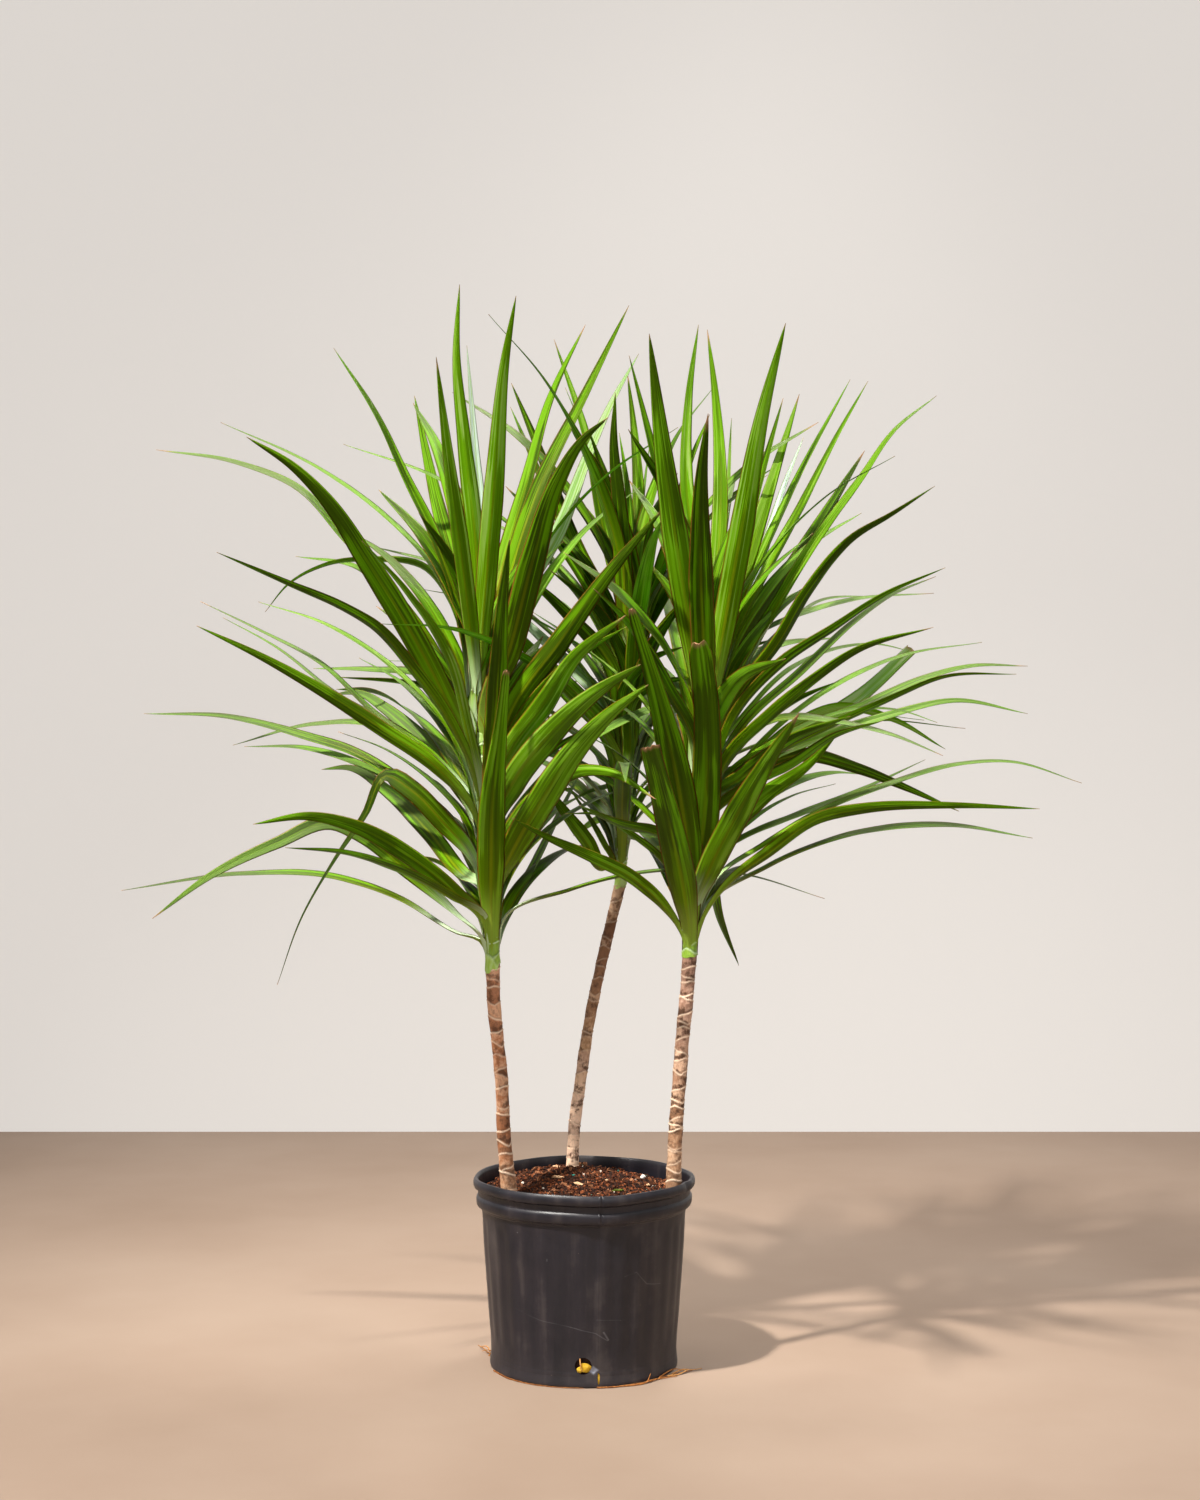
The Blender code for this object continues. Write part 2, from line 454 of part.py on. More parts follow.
def outline_blades(name, head, leaf):
    """Give the ways to place a leaf of the outline, nearest to its own depth first."""
    width = max(leaf.width, NARROWEST_LEAF)
    turn = math.acos(leaf.width / width)
    for swing in swings(0.02, 0.40):
        yield Blade(name, leaf_route(leaf, head.stem, swing), width, turn, leaf.twist, leaf.end)


def hidden_blades(name, head, number, draw):
    """Give the ways to place one of the leaves behind the outline."""
    level = (number + 0.5) / head.hidden
    turn = (number * GOLDEN_TURN) % 1.0 - 0.5
    lift = HIDDEN_LIFT[0] + (HIDDEN_LIFT[1] - HIDDEN_LIFT[0]) * level
    length = draw.uniform(*HIDDEN_LENGTH)
    width = draw.uniform(*HIDDEN_WIDTH)
    twist = draw.uniform(-40, 40)
    for swing in swings(5, 60):
        for dip in (0, -8, 8):
            facing = math.radians(head.facing + head.spread * turn + swing)
            route = hidden_route(head.stem, 0.03 + 0.29 * level, facing, lift + dip, length)
            yield Blade(name, route, width, twist=twist)


def all_blades():
    """Place every leaf, the outline first, so that no two heads cross."""
    thicket = Thicket()
    for name, head in HEADS.items():
        thicket.add_solid(name, stem_mesh(head.stem))
        thicket.add_solid(None, cane_mesh(head.cane))
    for name, head in HEADS.items():
        for leaf in head.leaves:
            thicket.add_clear(outline_blades(name, head, leaf))
    draw = random.Random(HIDDEN_SEED)
    for name, head in HEADS.items():
        for number in range(head.hidden):
            thicket.add_clear(hidden_blades(name, head, number, draw))
    return thicket.blades


def upright_tube(route, radii, sides):
    """Give a closed tube whose rings lie level, so that its ends are flat and level too."""
    corners = []
    for (x, y, z), radius in zip(route, radii):
        for step in range(sides):
            angle = 2 * math.pi * (step + 0.5) / sides
            corners.append((x + radius * math.cos(angle), y + radius * math.sin(angle), z))
    faces = [tuple(reversed(range(sides))), tuple(range(len(corners) - sides, len(corners)))]
    for ring in range(0, len(corners) - sides, sides):
        for step in range(sides):
            near, ahead = ring + step, ring + (step + 1) % sides
            faces.append((near, ahead, ahead + sides, near + sides))
    return corners, faces


def drain_hole(number):
    """Give the cutter of one round drain hole through the pot's wall."""
    facing = -math.pi / 2 + 2 * math.pi * number / DRAIN_COUNT
    outward = np.array((math.cos(facing), math.sin(facing), 0.0))
    across = np.array((-outward[1], outward[0], 0.0))
    ends = [(0, 0, reach) for reach in DRAIN_REACH]
    corners, faces = upright_tube(ends, [DRAIN_DIAMETER / 2] * 2, DRAIN_SIDES)
    return [outward * z + across * x + np.array((0, 0, DRAIN_HEIGHT + y)) for x, y, z in corners], faces


def cane_line(cane):
    """Give a cane's middle line from its foot in the mix to its top, and its plain radius there."""
    bare = trunk_route(cane, 60)
    foot = (bare[0, 0] * CANE_FOOT_INSET, bare[0, 1] * CANE_FOOT_INSET, CANE_FOOT)
    line = np.vstack((foot, bare))
    heights = np.linspace(bare[0, 2], bare[-1, 2], len(cane.radii))
    return line, np.interp(line[:, 2], heights, cane.radii)


def cane_mesh(cane):
    """Give a cane with a low step at each leaf scar."""
    line, plain = cane_line(cane)
    bare = line[-1, 2] - line[1, 2]
    count = round(bare / CANE_RING)
    heights = [CANE_FOOT]
    relief = [0.0]
    for ring in range(count):
        start = line[1, 2] + bare * ring / count
        heights += [start, start + 0.8 * bare / count]
        relief += [-CANE_RING_RELIEF, CANE_RING_RELIEF]
    heights.append(line[-1, 2])
    relief.append(0.0)
    route = [[np.interp(height, line[:, 2], line[:, axis]) for axis in range(3)] for height in heights]
    return upright_tube(route, np.interp(heights, line[:, 2], plain) + np.array(relief), CANE_SIDES)


def cane_hole(cane):
    """Give the cutter of the plain hole that a cane stands in."""
    line, plain = cane_line(cane)
    radius = plain[0] + CANE_RING_RELIEF + GAP
    foot = line[0] - (0, 0, GAP)
    return upright_tube([foot, foot + (line[1] - line[0]) * 1.5], [radius] * 2, CANE_SIDES)


def stem_mesh(stem):
    """Give the green stem that carries a head's leaves, a gap above its cane."""
    route = trunk_route(stem, len(stem.radii))
    route[0, 2] += GAP
    return upright_tube(route, stem.radii, STEM_SIDES)


def soil_height(x, y):
    """Give the height of the potting mix."""
    spread = ((x - SOIL_PEAK[0]) ** 2 + (y - SOIL_PEAK[1]) ** 2) / (2 * SOIL_SPREAD**2)
    lumps = math.sin(151 * x + 2.0) * math.sin(173 * y) + math.sin(97 * x - 131 * y)
    return SOIL_SIDE + SOIL_MOUND * math.exp(-spread) + SOIL_LUMP * lumps


def plain_material(name, colour, roughness):
    """Make a material of one colour."""
    material = bpy.data.materials.new(name)
    material.use_nodes = True
    shader = material.node_tree.nodes["Principled BSDF"]
    shader.inputs["Base Color"].default_value = (*colour, 1.0)
    shader.inputs["Roughness"].default_value = roughness
    shader.inputs["Metallic"].default_value = 0.0
    return material


def add_object(name, shape, group=None):
    """Make an object from corners and faces in the scene, or in a group of parts to be joined."""
    corners, faces = shape
    mesh = bpy.data.meshes.new(name)
    mesh.from_pydata([tuple(map(float, corner)) for corner in corners], [], faces)
    thing = bpy.data.objects.new(name, mesh)
    (group or bpy.context.scene.collection).objects.link(thing)
    return thing


def add_turned(name, outline):
    """Make an object by turning an outline, which starts and ends on the axis, around +Z."""
    mesh = bmesh.new()
    corners = [mesh.verts.new((radius, 0, height)) for radius, height in outline]
    edges = [mesh.edges.new(ends) for ends in zip(corners, corners[1:])]
    bmesh.ops.spin(mesh, geom=corners + edges, axis=(0, 0, 1), angle=2 * math.pi, steps=POT_SIDES)
    bmesh.ops.remove_doubles(mesh, verts=mesh.verts, dist=0.00001)
    bmesh.ops.recalc_face_normals(mesh, faces=mesh.faces)
    thing = add_object(name, ((), ()))
    mesh.to_mesh(thing.data)
    mesh.free()
    return thing


def combine(thing, parts, operation):
    """Join parts to a thing, or cut them out of it, by one applied Boolean on a collection."""
    group = bpy.data.collections.new(thing.name + "_parts")
    bpy.context.scene.collection.children.link(group)
    for number, part in enumerate(parts):
        add_object("%s_part_%d" % (thing.name, number), part, group)
    joint = thing.modifiers.new("combine", "BOOLEAN")
    joint.operation = operation
    joint.solver = "EXACT"
    joint.operand_type = "COLLECTION"
    joint.collection = group
    evaluated = thing.evaluated_get(bpy.context.evaluated_depsgraph_get())
    mesh = bpy.data.meshes.new_from_object(evaluated)
    thing.modifiers.clear()
    thing.data = mesh
    for part in list(group.objects):
        bpy.data.objects.remove(part)
    bpy.data.collections.remove(group)


def keep_skin(thing):
    """Keep the largest closed surface of a thing, which fills the voids inside it, in triangles."""
    mesh = bmesh.new()
    mesh.from_mesh(thing.data)
    left = set(mesh.verts)
    largest = set()
    while left:
        reached = [left.pop()]
        found = set(reached)
        while reached:
            for edge in reached.pop().link_edges:
                fresh = set(edge.verts) - found
                found |= fresh
                reached += fresh
        left -= found
        largest = max(largest, found, key=len)
    bmesh.ops.delete(mesh, geom=[vert for vert in mesh.verts if vert not in largest], context="VERTS")
    bmesh.ops.triangulate(mesh, faces=mesh.faces)
    mesh.to_mesh(thing.data)
    mesh.free()


def finish(thing, material, angle):
    """Give a thing its material, and shade it smooth up to an angle in degrees."""
    thing.data.materials.clear()
    thing.data.materials.append(material)
    thing.data.shade_smooth()
    thing.data.set_sharp_from_angle(angle=math.radians(angle))


def make_pot():
    """Turn the pot and cut its drain holes."""
    pot = add_turned("pot", ((0, 0), *POT_OUTLINE, *POT_BORE, (0, POT_FLOOR)))
    combine(pot, [drain_hole(number) for number in range(DRAIN_COUNT)], "DIFFERENCE")
    finish(pot, plain_material("pot_plastic", (0.022, 0.022, 0.026), 0.45), 40)


def make_soil():
    """Fill the pot with a mound of mix that has a hole for each cane."""
    wall = [(radius - GAP, height) for radius, height in reversed(POT_BORE[1:])]
    wall[0] = (wall[0][0], POT_FLOOR + GAP)
    top = [(radius, SOIL_SIDE) for radius in (wall[-1][0], *SOIL_RINGS, 0)]
    soil = add_turned("soil", ((0, POT_FLOOR + GAP), *wall, *top))
    for corner in soil.data.vertices:
        if corner.co.z > SOIL_SIDE - GAP:
            corner.co.z = soil_height(corner.co.x, corner.co.y)
    combine(soil, [cane_hole(head.cane) for head in HEADS.values()], "DIFFERENCE")
    finish(soil, plain_material("soil_mix", (0.095, 0.042, 0.022), 0.95), 50)


def make_canes():
    """Stand the canes in the mix."""
    for name, head in HEADS.items():
        cane = add_object("cane_" + name, cane_mesh(head.cane))
        finish(cane, plain_material("bark_" + name, (0.42, 0.27, 0.16), 0.75), 50)


def make_leaves():
    """Join each head's blades to its green stem."""
    blades = all_blades()
    for name, head in HEADS.items():
        leaves = add_object("leaves_" + name, stem_mesh(head.stem))
        combine(leaves, [blade.mesh() for blade in blades if blade.head == name], "UNION")
        keep_skin(leaves)
        finish(leaves, plain_material("green_" + name, (0.085, 0.210, 0.018), 0.38), 60)


def main():
    """Build the plant in an empty scene."""
    for thing in list(bpy.data.objects):
        bpy.data.objects.remove(thing)
    make_pot()
    make_soil()
    make_canes()
    make_leaves()


main()
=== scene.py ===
"""The finish of a potted dragon tree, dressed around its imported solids.

Metres, +Z up, in the frame of the solids: the pot's flat base is centred on the origin and its front
faces -Y. The leaves stand by the same rule as the solid ones, each with a finer blade.
"""
import json
import math
import random
from collections import namedtuple

import bmesh
import bpy
import numpy as np
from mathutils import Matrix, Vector, noise
from mathutils.bvhtree import BVHTree

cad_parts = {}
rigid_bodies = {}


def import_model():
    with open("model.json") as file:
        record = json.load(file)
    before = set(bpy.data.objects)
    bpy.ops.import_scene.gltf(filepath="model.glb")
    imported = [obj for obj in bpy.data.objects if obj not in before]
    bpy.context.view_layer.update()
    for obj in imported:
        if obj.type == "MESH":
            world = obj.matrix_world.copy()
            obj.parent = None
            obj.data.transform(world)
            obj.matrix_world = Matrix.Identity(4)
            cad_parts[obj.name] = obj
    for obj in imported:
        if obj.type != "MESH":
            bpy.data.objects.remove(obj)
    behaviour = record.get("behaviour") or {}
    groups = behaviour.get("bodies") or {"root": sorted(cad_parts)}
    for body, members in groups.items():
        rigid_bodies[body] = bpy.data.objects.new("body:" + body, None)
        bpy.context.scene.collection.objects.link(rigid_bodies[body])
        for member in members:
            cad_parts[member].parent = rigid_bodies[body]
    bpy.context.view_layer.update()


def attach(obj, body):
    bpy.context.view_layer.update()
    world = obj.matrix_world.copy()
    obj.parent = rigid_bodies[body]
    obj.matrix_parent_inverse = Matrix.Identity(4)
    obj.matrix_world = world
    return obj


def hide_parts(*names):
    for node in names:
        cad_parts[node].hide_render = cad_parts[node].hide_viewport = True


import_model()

# View and stage: the point the plant is seen from, the lens for a sensor, and the reach of floor and wall
VIEWPOINT = np.array((0.020, -2.813, 0.759))
LENS = 54.48
SENSOR = 36.0
WALL_DEPTH = 1.70
WALL_HEIGHT = 6
STAGE_REACH = 9

# Placing of leaves, as in the solids
BLADE_CLEARANCE = 0.0030
BLADE_THICKNESS = 0.0012
BLADE_FOLD = 0.12
COLLAR_RISE = 0.012
NARROWEST_LEAF = 0.020
TIP_HALF_WIDTH = 0.0007
FREE_FROM = 0.35
GOLDEN_TURN = 0.618034
STEM_SIDES = 8
STEM_GAP = 0.0003
OUTLINE_SWING = (0.02, 0.40)
ARCH = 14.0
BACKWARDS = 90
HIDDEN_SEED = 7

# A rule for leaves without a row: ranges of length, width and lift, the lowest root and how far they spread
# above it, the darkest tone and how far it varies, the twist, the step and most of the swing that finds them
# room, and the changes of lift that do. Angles are in degrees
Rule = namedtuple("Rule", "length width lift root tone twist swing dips")
HIDDEN = Rule((0.40, 0.52), (0.020, 0.028), (18.0, 68.0), (0.03, 0.29), (0.3, 0.4), 40, (5, 60), (0, -8, 8))
INNER = Rule((0.24, 0.38), (0.020, 0.028), (34.0, 76.0), (0.012, 0.30), (0.15, 0.30), 50, (6, 48), (0, 6, -6))
INNER_COUNT = 20
INNER_FAN = (110, 190)

# Fine blades. A sheath starts at rises from the leaf's root, each with its reach in radii of the stem, and
# close above the stem's foot these rises crowd together
STATIONS = 56
SECTION_POINTS = 16
LUCK_START = 0.31
LUCK_STEP = 0.754877
FINE_THICKNESS = 0.0007
FINE_TIP = 0.0003
FINE_FOLD = 0.30
RIPPLE = 0.0016
RAGGEDNESS = 0.016
FULLER = 1.06
FULLER_CUT = 1.26
SLIMMER = 0.20
TAPER_SHARE = 0.47
TAPER_POWER = 0.74
WITHERED_CUT = 0.008
WITHERED_TIP = (0.010, 0.045)
# A blade that runs less steeply than this, as a share of upright, gets a painted grey sheen
PAINTED_SHEEN_SLOPE = 0.85
SHEATH = ((-0.045, 0.80), (-0.015, 1.02), (0.008, 1.40))
SHEATH_FOOT = 0.001
SHEATH_CROWDING = 0.4
SHEATH_WRAP = 0.90
SHEATH_CURL = 0.50
SHEATH_SHARE = 0.11
SHEATH_POINT = 0.05
KINK = 0.44
KINK_LENGTH = 0.06
KINK_TWIST = 60
KINK_CREASE = 0.55
CUT_ENDS = {"cut": (0.35, 0.021), "round": (0.25, 0.060), "nib": (0.70, 0.050)}

# Canes and green shoots. A crease and a shade lie at a drop above each scar, and have a width
CANE_SIDES = 8
CANE_FOOT = 0.110
CANE_FOOT_INSET = 0.86
CANE_RING = 0.0240
CANE_RING_RELIEF = 0.0005
BARK_SIDES = 48
BARK_STEP = 0.0010
SCAR_TILT = 0.0048
SCAR_WIDTH = 0.0010
SCAR_HEIGHT = 0.00080
SCAR_WANDER = 0.0006
SCAR_PLAY = {"turn": (-0.4, 0.4), "rise": (-0.35, 0.35), "tilt": (0.5, 1.2)}
FAINTEST_SCAR = 0.35
CREASE = (0.0018, 0.0010)
SHADE = (0.0042, 0.0032)
SHOOT_RINGS = (0.0105, 0.0075, 0.0009)
SHOOT_INSET = 0.0006
HEMS = {"left": 0.012, "right": 0.003, "back": 0.005}
HEM_TURN = 0.8
HEM_RISE = 0.010
HEM_THICKNESS = 0.0012

# Pot. Its outline and the section of its slit are in tenths of a millimetre
POT_FLOOR = 0.0030
POT_SIDES = 240
POT_ROWS = 200
POT_OUTLINE = np.array((
    (1120, 0), (1146, 3), (1158, 18), (1160, 45), (1155, 80), (1149, 140), (1150, 300), (1178, 700),
    (1207, 1100), (1235, 1500), (1260, 1905), (1266, 1952), (1290, 1970), (1316, 1985), (1325, 2010),
    (1328, 2050), (1328, 2085), (1322, 2099), (1309, 2108), (1306, 2122), (1309, 2150), (1311, 2180),
    (1320, 2194), (1346, 2203), (1361, 2228), (1366, 2265), (1360, 2300), (1345, 2322), (1322, 2324),
    (1305, 2308), (1298, 2270), (1296, 2150), (1295, 1995), (1270, 1945), (1245, 1925), (1190, 1100),
    (1137, 320), (1132, 60), (1115, 30))) / 10000
FLUTES = 32
FLUTE_DEPTH = 0.0005
DRAIN_DIAMETER = 0.0200
DRAIN_HEIGHT = 0.0265
DRAIN_COUNT = 4
CUT_REACH = (0.100, 0.130)
SLIT_TURN = math.radians(-80.8)
SLIT_SECTION = np.array(((-9, 40), (9, 42), (13, 110), (10, 176), (-11, 180), (-14, 110))) / 10000
RIM_RADIUS = 0.13
WALL_RADIUS = 0.12
PARTING_TURNS = [math.radians(-81.5) + half * math.pi for half in range(2)]
PARTING_OFFSETS = np.arange(-6, 6.1, 0.4) / 130

# Waves of the rim, in and out and up and down: size, number round the pot and start
RIM_SWAY = ((0.0007, 2, 0.6), (0.0004, 5, 1.0), (0.0003, 9, 0.0))
RIM_LIFT = ((0.0007, 3, 1.0), (0.0004, 7, 0.0))

# Dents: turn in degrees, height, depth and width
DENTS = ((-83.8, 0.0205, 0.0016, 0.0036), (-21.5, 0.2290, 0.0028, 0.0070), (-17.0, 0.2310, -0.0010, 0.0060),
         (-130.0, 0.1200, 0.0012, 0.0300), (-52.0, 0.1000, 0.0010, 0.0260), (60.0, 0.0900, 0.0012, 0.0300))

# Scratches on the pot's front: both ends across and up, half width and strength
SCRATCHES = (
    ((0.0492, 0.1322), (0.0636, 0.1361), 0.0011, 0.45), ((0.0636, 0.1361), (0.0761, 0.1194), 0.0009, 0.30),
    ((0.0761, 0.1194), (0.0929, 0.1161), 0.0009, 0.35), ((-0.0822, 0.0888), (-0.0529, 0.0793), 0.0009, 0.20),
    ((-0.0529, 0.0793), (-0.0205, 0.0747), 0.0009, 0.20), ((-0.0205, 0.0747), (0.0151, 0.0656), 0.0009, 0.30),
    ((0.0151, 0.0656), (0.0293, 0.0561), 0.0010, 0.35), ((0.0151, 0.0822), (0.0508, 0.0795), 0.0009, 0.18),
    ((0.0241, 0.0673), (0.0303, 0.0565), 0.0017, 0.60), ((-0.0431, 0.1545), (-0.0431, 0.1513), 0.0012, 0.90),
    ((-0.0788, 0.1824), (-0.0788, 0.1810), 0.0011, 0.80),
)
# Middle of a painted bluish highlight on the dent beside the front drain hole, across and up
PAINTED_GLINT_PLACE = (0.0120, 0.0215)

# Potting mix: its height at the wall, the rise of its mound, and the lumps and roughness over it
SOIL_SIDE = 0.2080
SOIL_MOUND = 0.0190
SOIL_PEAK = (-0.020, 0.060)
SOIL_SPREAD = 0.065
SOIL_LUMP = 0.0012
SOIL_ROUGHNESS = 0.0030
SOIL_RINGS = 90
SOIL_SIDES = 256
SOIL_GAP = 0.0003
SOIL_WALL = ((0.1128, 0.0300), (0.1236, 0.1915), (0.1290, 0.1990))
SOIL_EDGE = 0.1292
SOIL_MIDDLE = 0.0015
CRUMB_GROUND = 0.19
CRUMB_SLOPE = 0.4

# A cane or green stem: seen points from the bottom up, its depth there and at the top, and radii along it
Trunk = namedtuple("Trunk", "seen depth radii")

# A leaf: height of its root above the stem's foot, how far its tip lies behind its root (in front when
# negative), the width that shows, its tone from dark to bright, which also paints part of the light and shade
# that falls on it and from about one up a painted silver reflection, the seen points from root to tip, its
# kind of end, and its twist in degrees
Leaf = namedtuple("Leaf", "root depth width tone seen end twist")

# A head: its cane, its green stem, the leaves of the outline, and the number, middle direction and
# spread in degrees of those behind
Head = namedtuple("Head", "cane stem leaves hidden facing spread")


def leaf_mm(root, depth, width, tone, *seen, end="point", twist=0):
    """Give a leaf from millimetres, its seen points as numbers across and up in turn."""
    root, depth, width, *seen = (number / 1000 for number in (root, depth, width, *seen))
    return Leaf(root, depth, width, tone, tuple(zip(seen[::2], seen[1::2])), end, twist)


LEFT_CANE = Trunk(
    ((-0.093, 0.215), (-0.099, 0.280), (-0.102, 0.350), (-0.107, 0.400), (-0.1115, 0.445), (-0.113, 0.495)),
    (-0.035, -0.035), (0.0098, 0.0083, 0.0080, 0.0080, 0.0088))
BACK_CANE = Trunk(
    ((-0.0145, 0.243), (-0.011, 0.300), (-0.004, 0.350), (0.003, 0.400), (0.012, 0.450), (0.023, 0.500),
     (0.045, 0.592)),
    (0.090, 0.110), (0.0078, 0.0076, 0.0072, 0.0072, 0.0074))
RIGHT_CANE = Trunk(
    ((0.111, 0.215), (0.112, 0.250), (0.1145, 0.300), (0.1185, 0.350), (0.122, 0.400), (0.127, 0.450),
     (0.131, 0.505)),
    (-0.030, -0.030), (0.0095, 0.0086, 0.0086, 0.0086, 0.0088))

LEFT_STEM = Trunk(
    ((-0.113, 0.495), (-0.1165, 0.600), (-0.122, 0.700), (-0.128, 0.800), (-0.133, 0.900), (-0.134, 0.940)),
    (-0.035, -0.020), (0.0090, 0.0115, 0.0115, 0.0105, 0.0040))
BACK_STEM = Trunk(
    ((0.045, 0.592), (0.048, 0.660), (0.053, 0.740), (0.058, 0.820), (0.062, 0.900), (0.063, 0.940)),
    (0.110, 0.130), (0.0076, 0.0105, 0.0105, 0.0095, 0.0040))
RIGHT_STEM = Trunk(
    ((0.131, 0.505), (0.135, 0.600), (0.142, 0.700), (0.150, 0.800), (0.154, 0.900), (0.155, 0.940)),
    (-0.030, -0.015), (0.0090, 0.0115, 0.0115, 0.0105, 0.0040))

LEFT_LEAVES = (
    leaf_mm(6, 100, 9, 0.25, -160, 532, -230, 573, -310, 600, -420, 605, -573, 585),
    leaf_mm(40, -250, 22, 0.40, -160, 582, -220, 630, -280, 663, -340, 677, -410, 667),
    leaf_mm(20, -120, 22, 0.50, -160, 555, -220, 610, -280, 656, -310, 669, -380, 644, -460, 605, -535, 550),
    leaf_mm(45, -280, 10, 0.35, -160, 572, -220, 605, -290, 630, -370, 638),
    leaf_mm(70, -120, 29, 0.34, -140, 625, -175, 670, -215, 710, -245, 727, -270, 680, -310, 620, -350, 550,
            -380, 468, twist=65),
    leaf_mm(80, 280, 22, 0.30, -150, 605, -190, 655, -240, 705, -290, 737, -325, 735),
    leaf_mm(150, 280, 24, 0.38, -150, 710, -185, 755, -215, 785, -245, 810, -280, 830, -310, 828),
    leaf_mm(140, 160, 10, 0.40, -160, 710, -210, 755, -260, 788, -330, 791, -435, 765),
    leaf_mm(110, 200, 14, 0.26, -160, 665, -220, 715, -280, 753, -350, 777, -440, 800, -545, 804),
    leaf_mm(170, -150, 21, 0.34, -180, 735, -250, 785, -330, 836, -400, 875, -480, 913),
    leaf_mm(180, 180, 8, 0.30, -180, 745, -260, 803, -330, 868, -400, 906, -475, 943),
    leaf_mm(160, 280, 7, 0.40, -200, 760, -310, 829, -380, 885, -447, 923),
    leaf_mm(240, 350, 11, 0.50, -160, 810, -200, 850, -260, 858, -335, 860),
    leaf_mm(210, -250, 14, 0.30, -165, 790, -210, 855, -260, 912, -300, 936, -370, 967, -455, 1004),
    leaf_mm(260, 120, 14, 0.32, -180, 870, -240, 955, -300, 1025, -350, 1080, -430, 1115, -530, 1131),
    leaf_mm(300, 220, 7, 0.40, -155, 910, -190, 985, -250, 1050, -330, 1108, -450, 1165),
    leaf_mm(240, -200, 27, 0.28, -175, 830, -220, 915, -270, 995, -320, 1070, -360, 1110, -418, 1147),
    leaf_mm(250, 350, 12, 0.50, -180, 860, -230, 935, -280, 984, -357, 999),
    leaf_mm(300, 280, 10, 0.60, -160, 930, -200, 985, -260, 994, -320, 988, -365, 965, -395, 930),
    leaf_mm(210, -220, 12, 0.70, -145, 780, -172, 880, -220, 955, -275, 1018),
    leaf_mm(300, 60, 13, 0.40, -153, 920, -185, 1020, -223, 1100, -255, 1170, -310, 1257),
    leaf_mm(310, 280, 22, 0.40, -155, 960, -185, 1080, -210, 1198),
    leaf_mm(330, -220, 19, 0.65, -148, 970, -168, 1120, -183, 1246),
    leaf_mm(350, -80, 20, 0.75, -133, 1000, -148, 1140, -158, 1250, -154, 1336),
    leaf_mm(350, 200, 13, 1.40, -129, 1040, -137, 1150, -145, 1260),
    leaf_mm(340, -160, 24, 0.70, -120, 980, -110, 1100, -98, 1240, -84, 1322),
    leaf_mm(330, 250, 17, 0.36, -105, 970, -73, 1080, -38, 1203, 2, 1286),
    leaf_mm(320, 150, 18, 0.30, -95, 960, -55, 1085, 3, 1203, 56, 1310),
    leaf_mm(290, -300, 30, 0.15, -93, 880, -63, 995, -33, 1090, 0, 1145, 30, 1171),
    leaf_mm(300, 220, 18, 1.06, -80, 940, -30, 1030, 8, 1130, 35, 1190, 68, 1250),
    leaf_mm(190, -340, 24, 0.70, -93, 755, -50, 815, -10, 875, 52, 926),
    leaf_mm(210, -50, 26, 0.10, -93, 800, -30, 893, 35, 983, 100, 1060),
    leaf_mm(140, -360, 30, 0.60, -90, 715, -45, 775, 5, 823, 70, 865),
    leaf_mm(80, -320, 32, 0.50, -90, 630, -50, 700, -10, 760, 30, 802, 80, 840),
    leaf_mm(90, -260, 20, 0.60, -85, 668, -50, 708, -10, 732, 30, 732, 89, 698),
    leaf_mm(30, 220, 10, 0.45, -93, 555, -60, 615, -40, 658, 0, 740),
    leaf_mm(40, -200, 27, 0.45, -115, 620, -113, 700, -103, 790, -96, 857, end="nib"),
    leaf_mm(160, -260, 24, 0.25, -113, 740, -106, 860, -99, 960, -92, 1020),
)

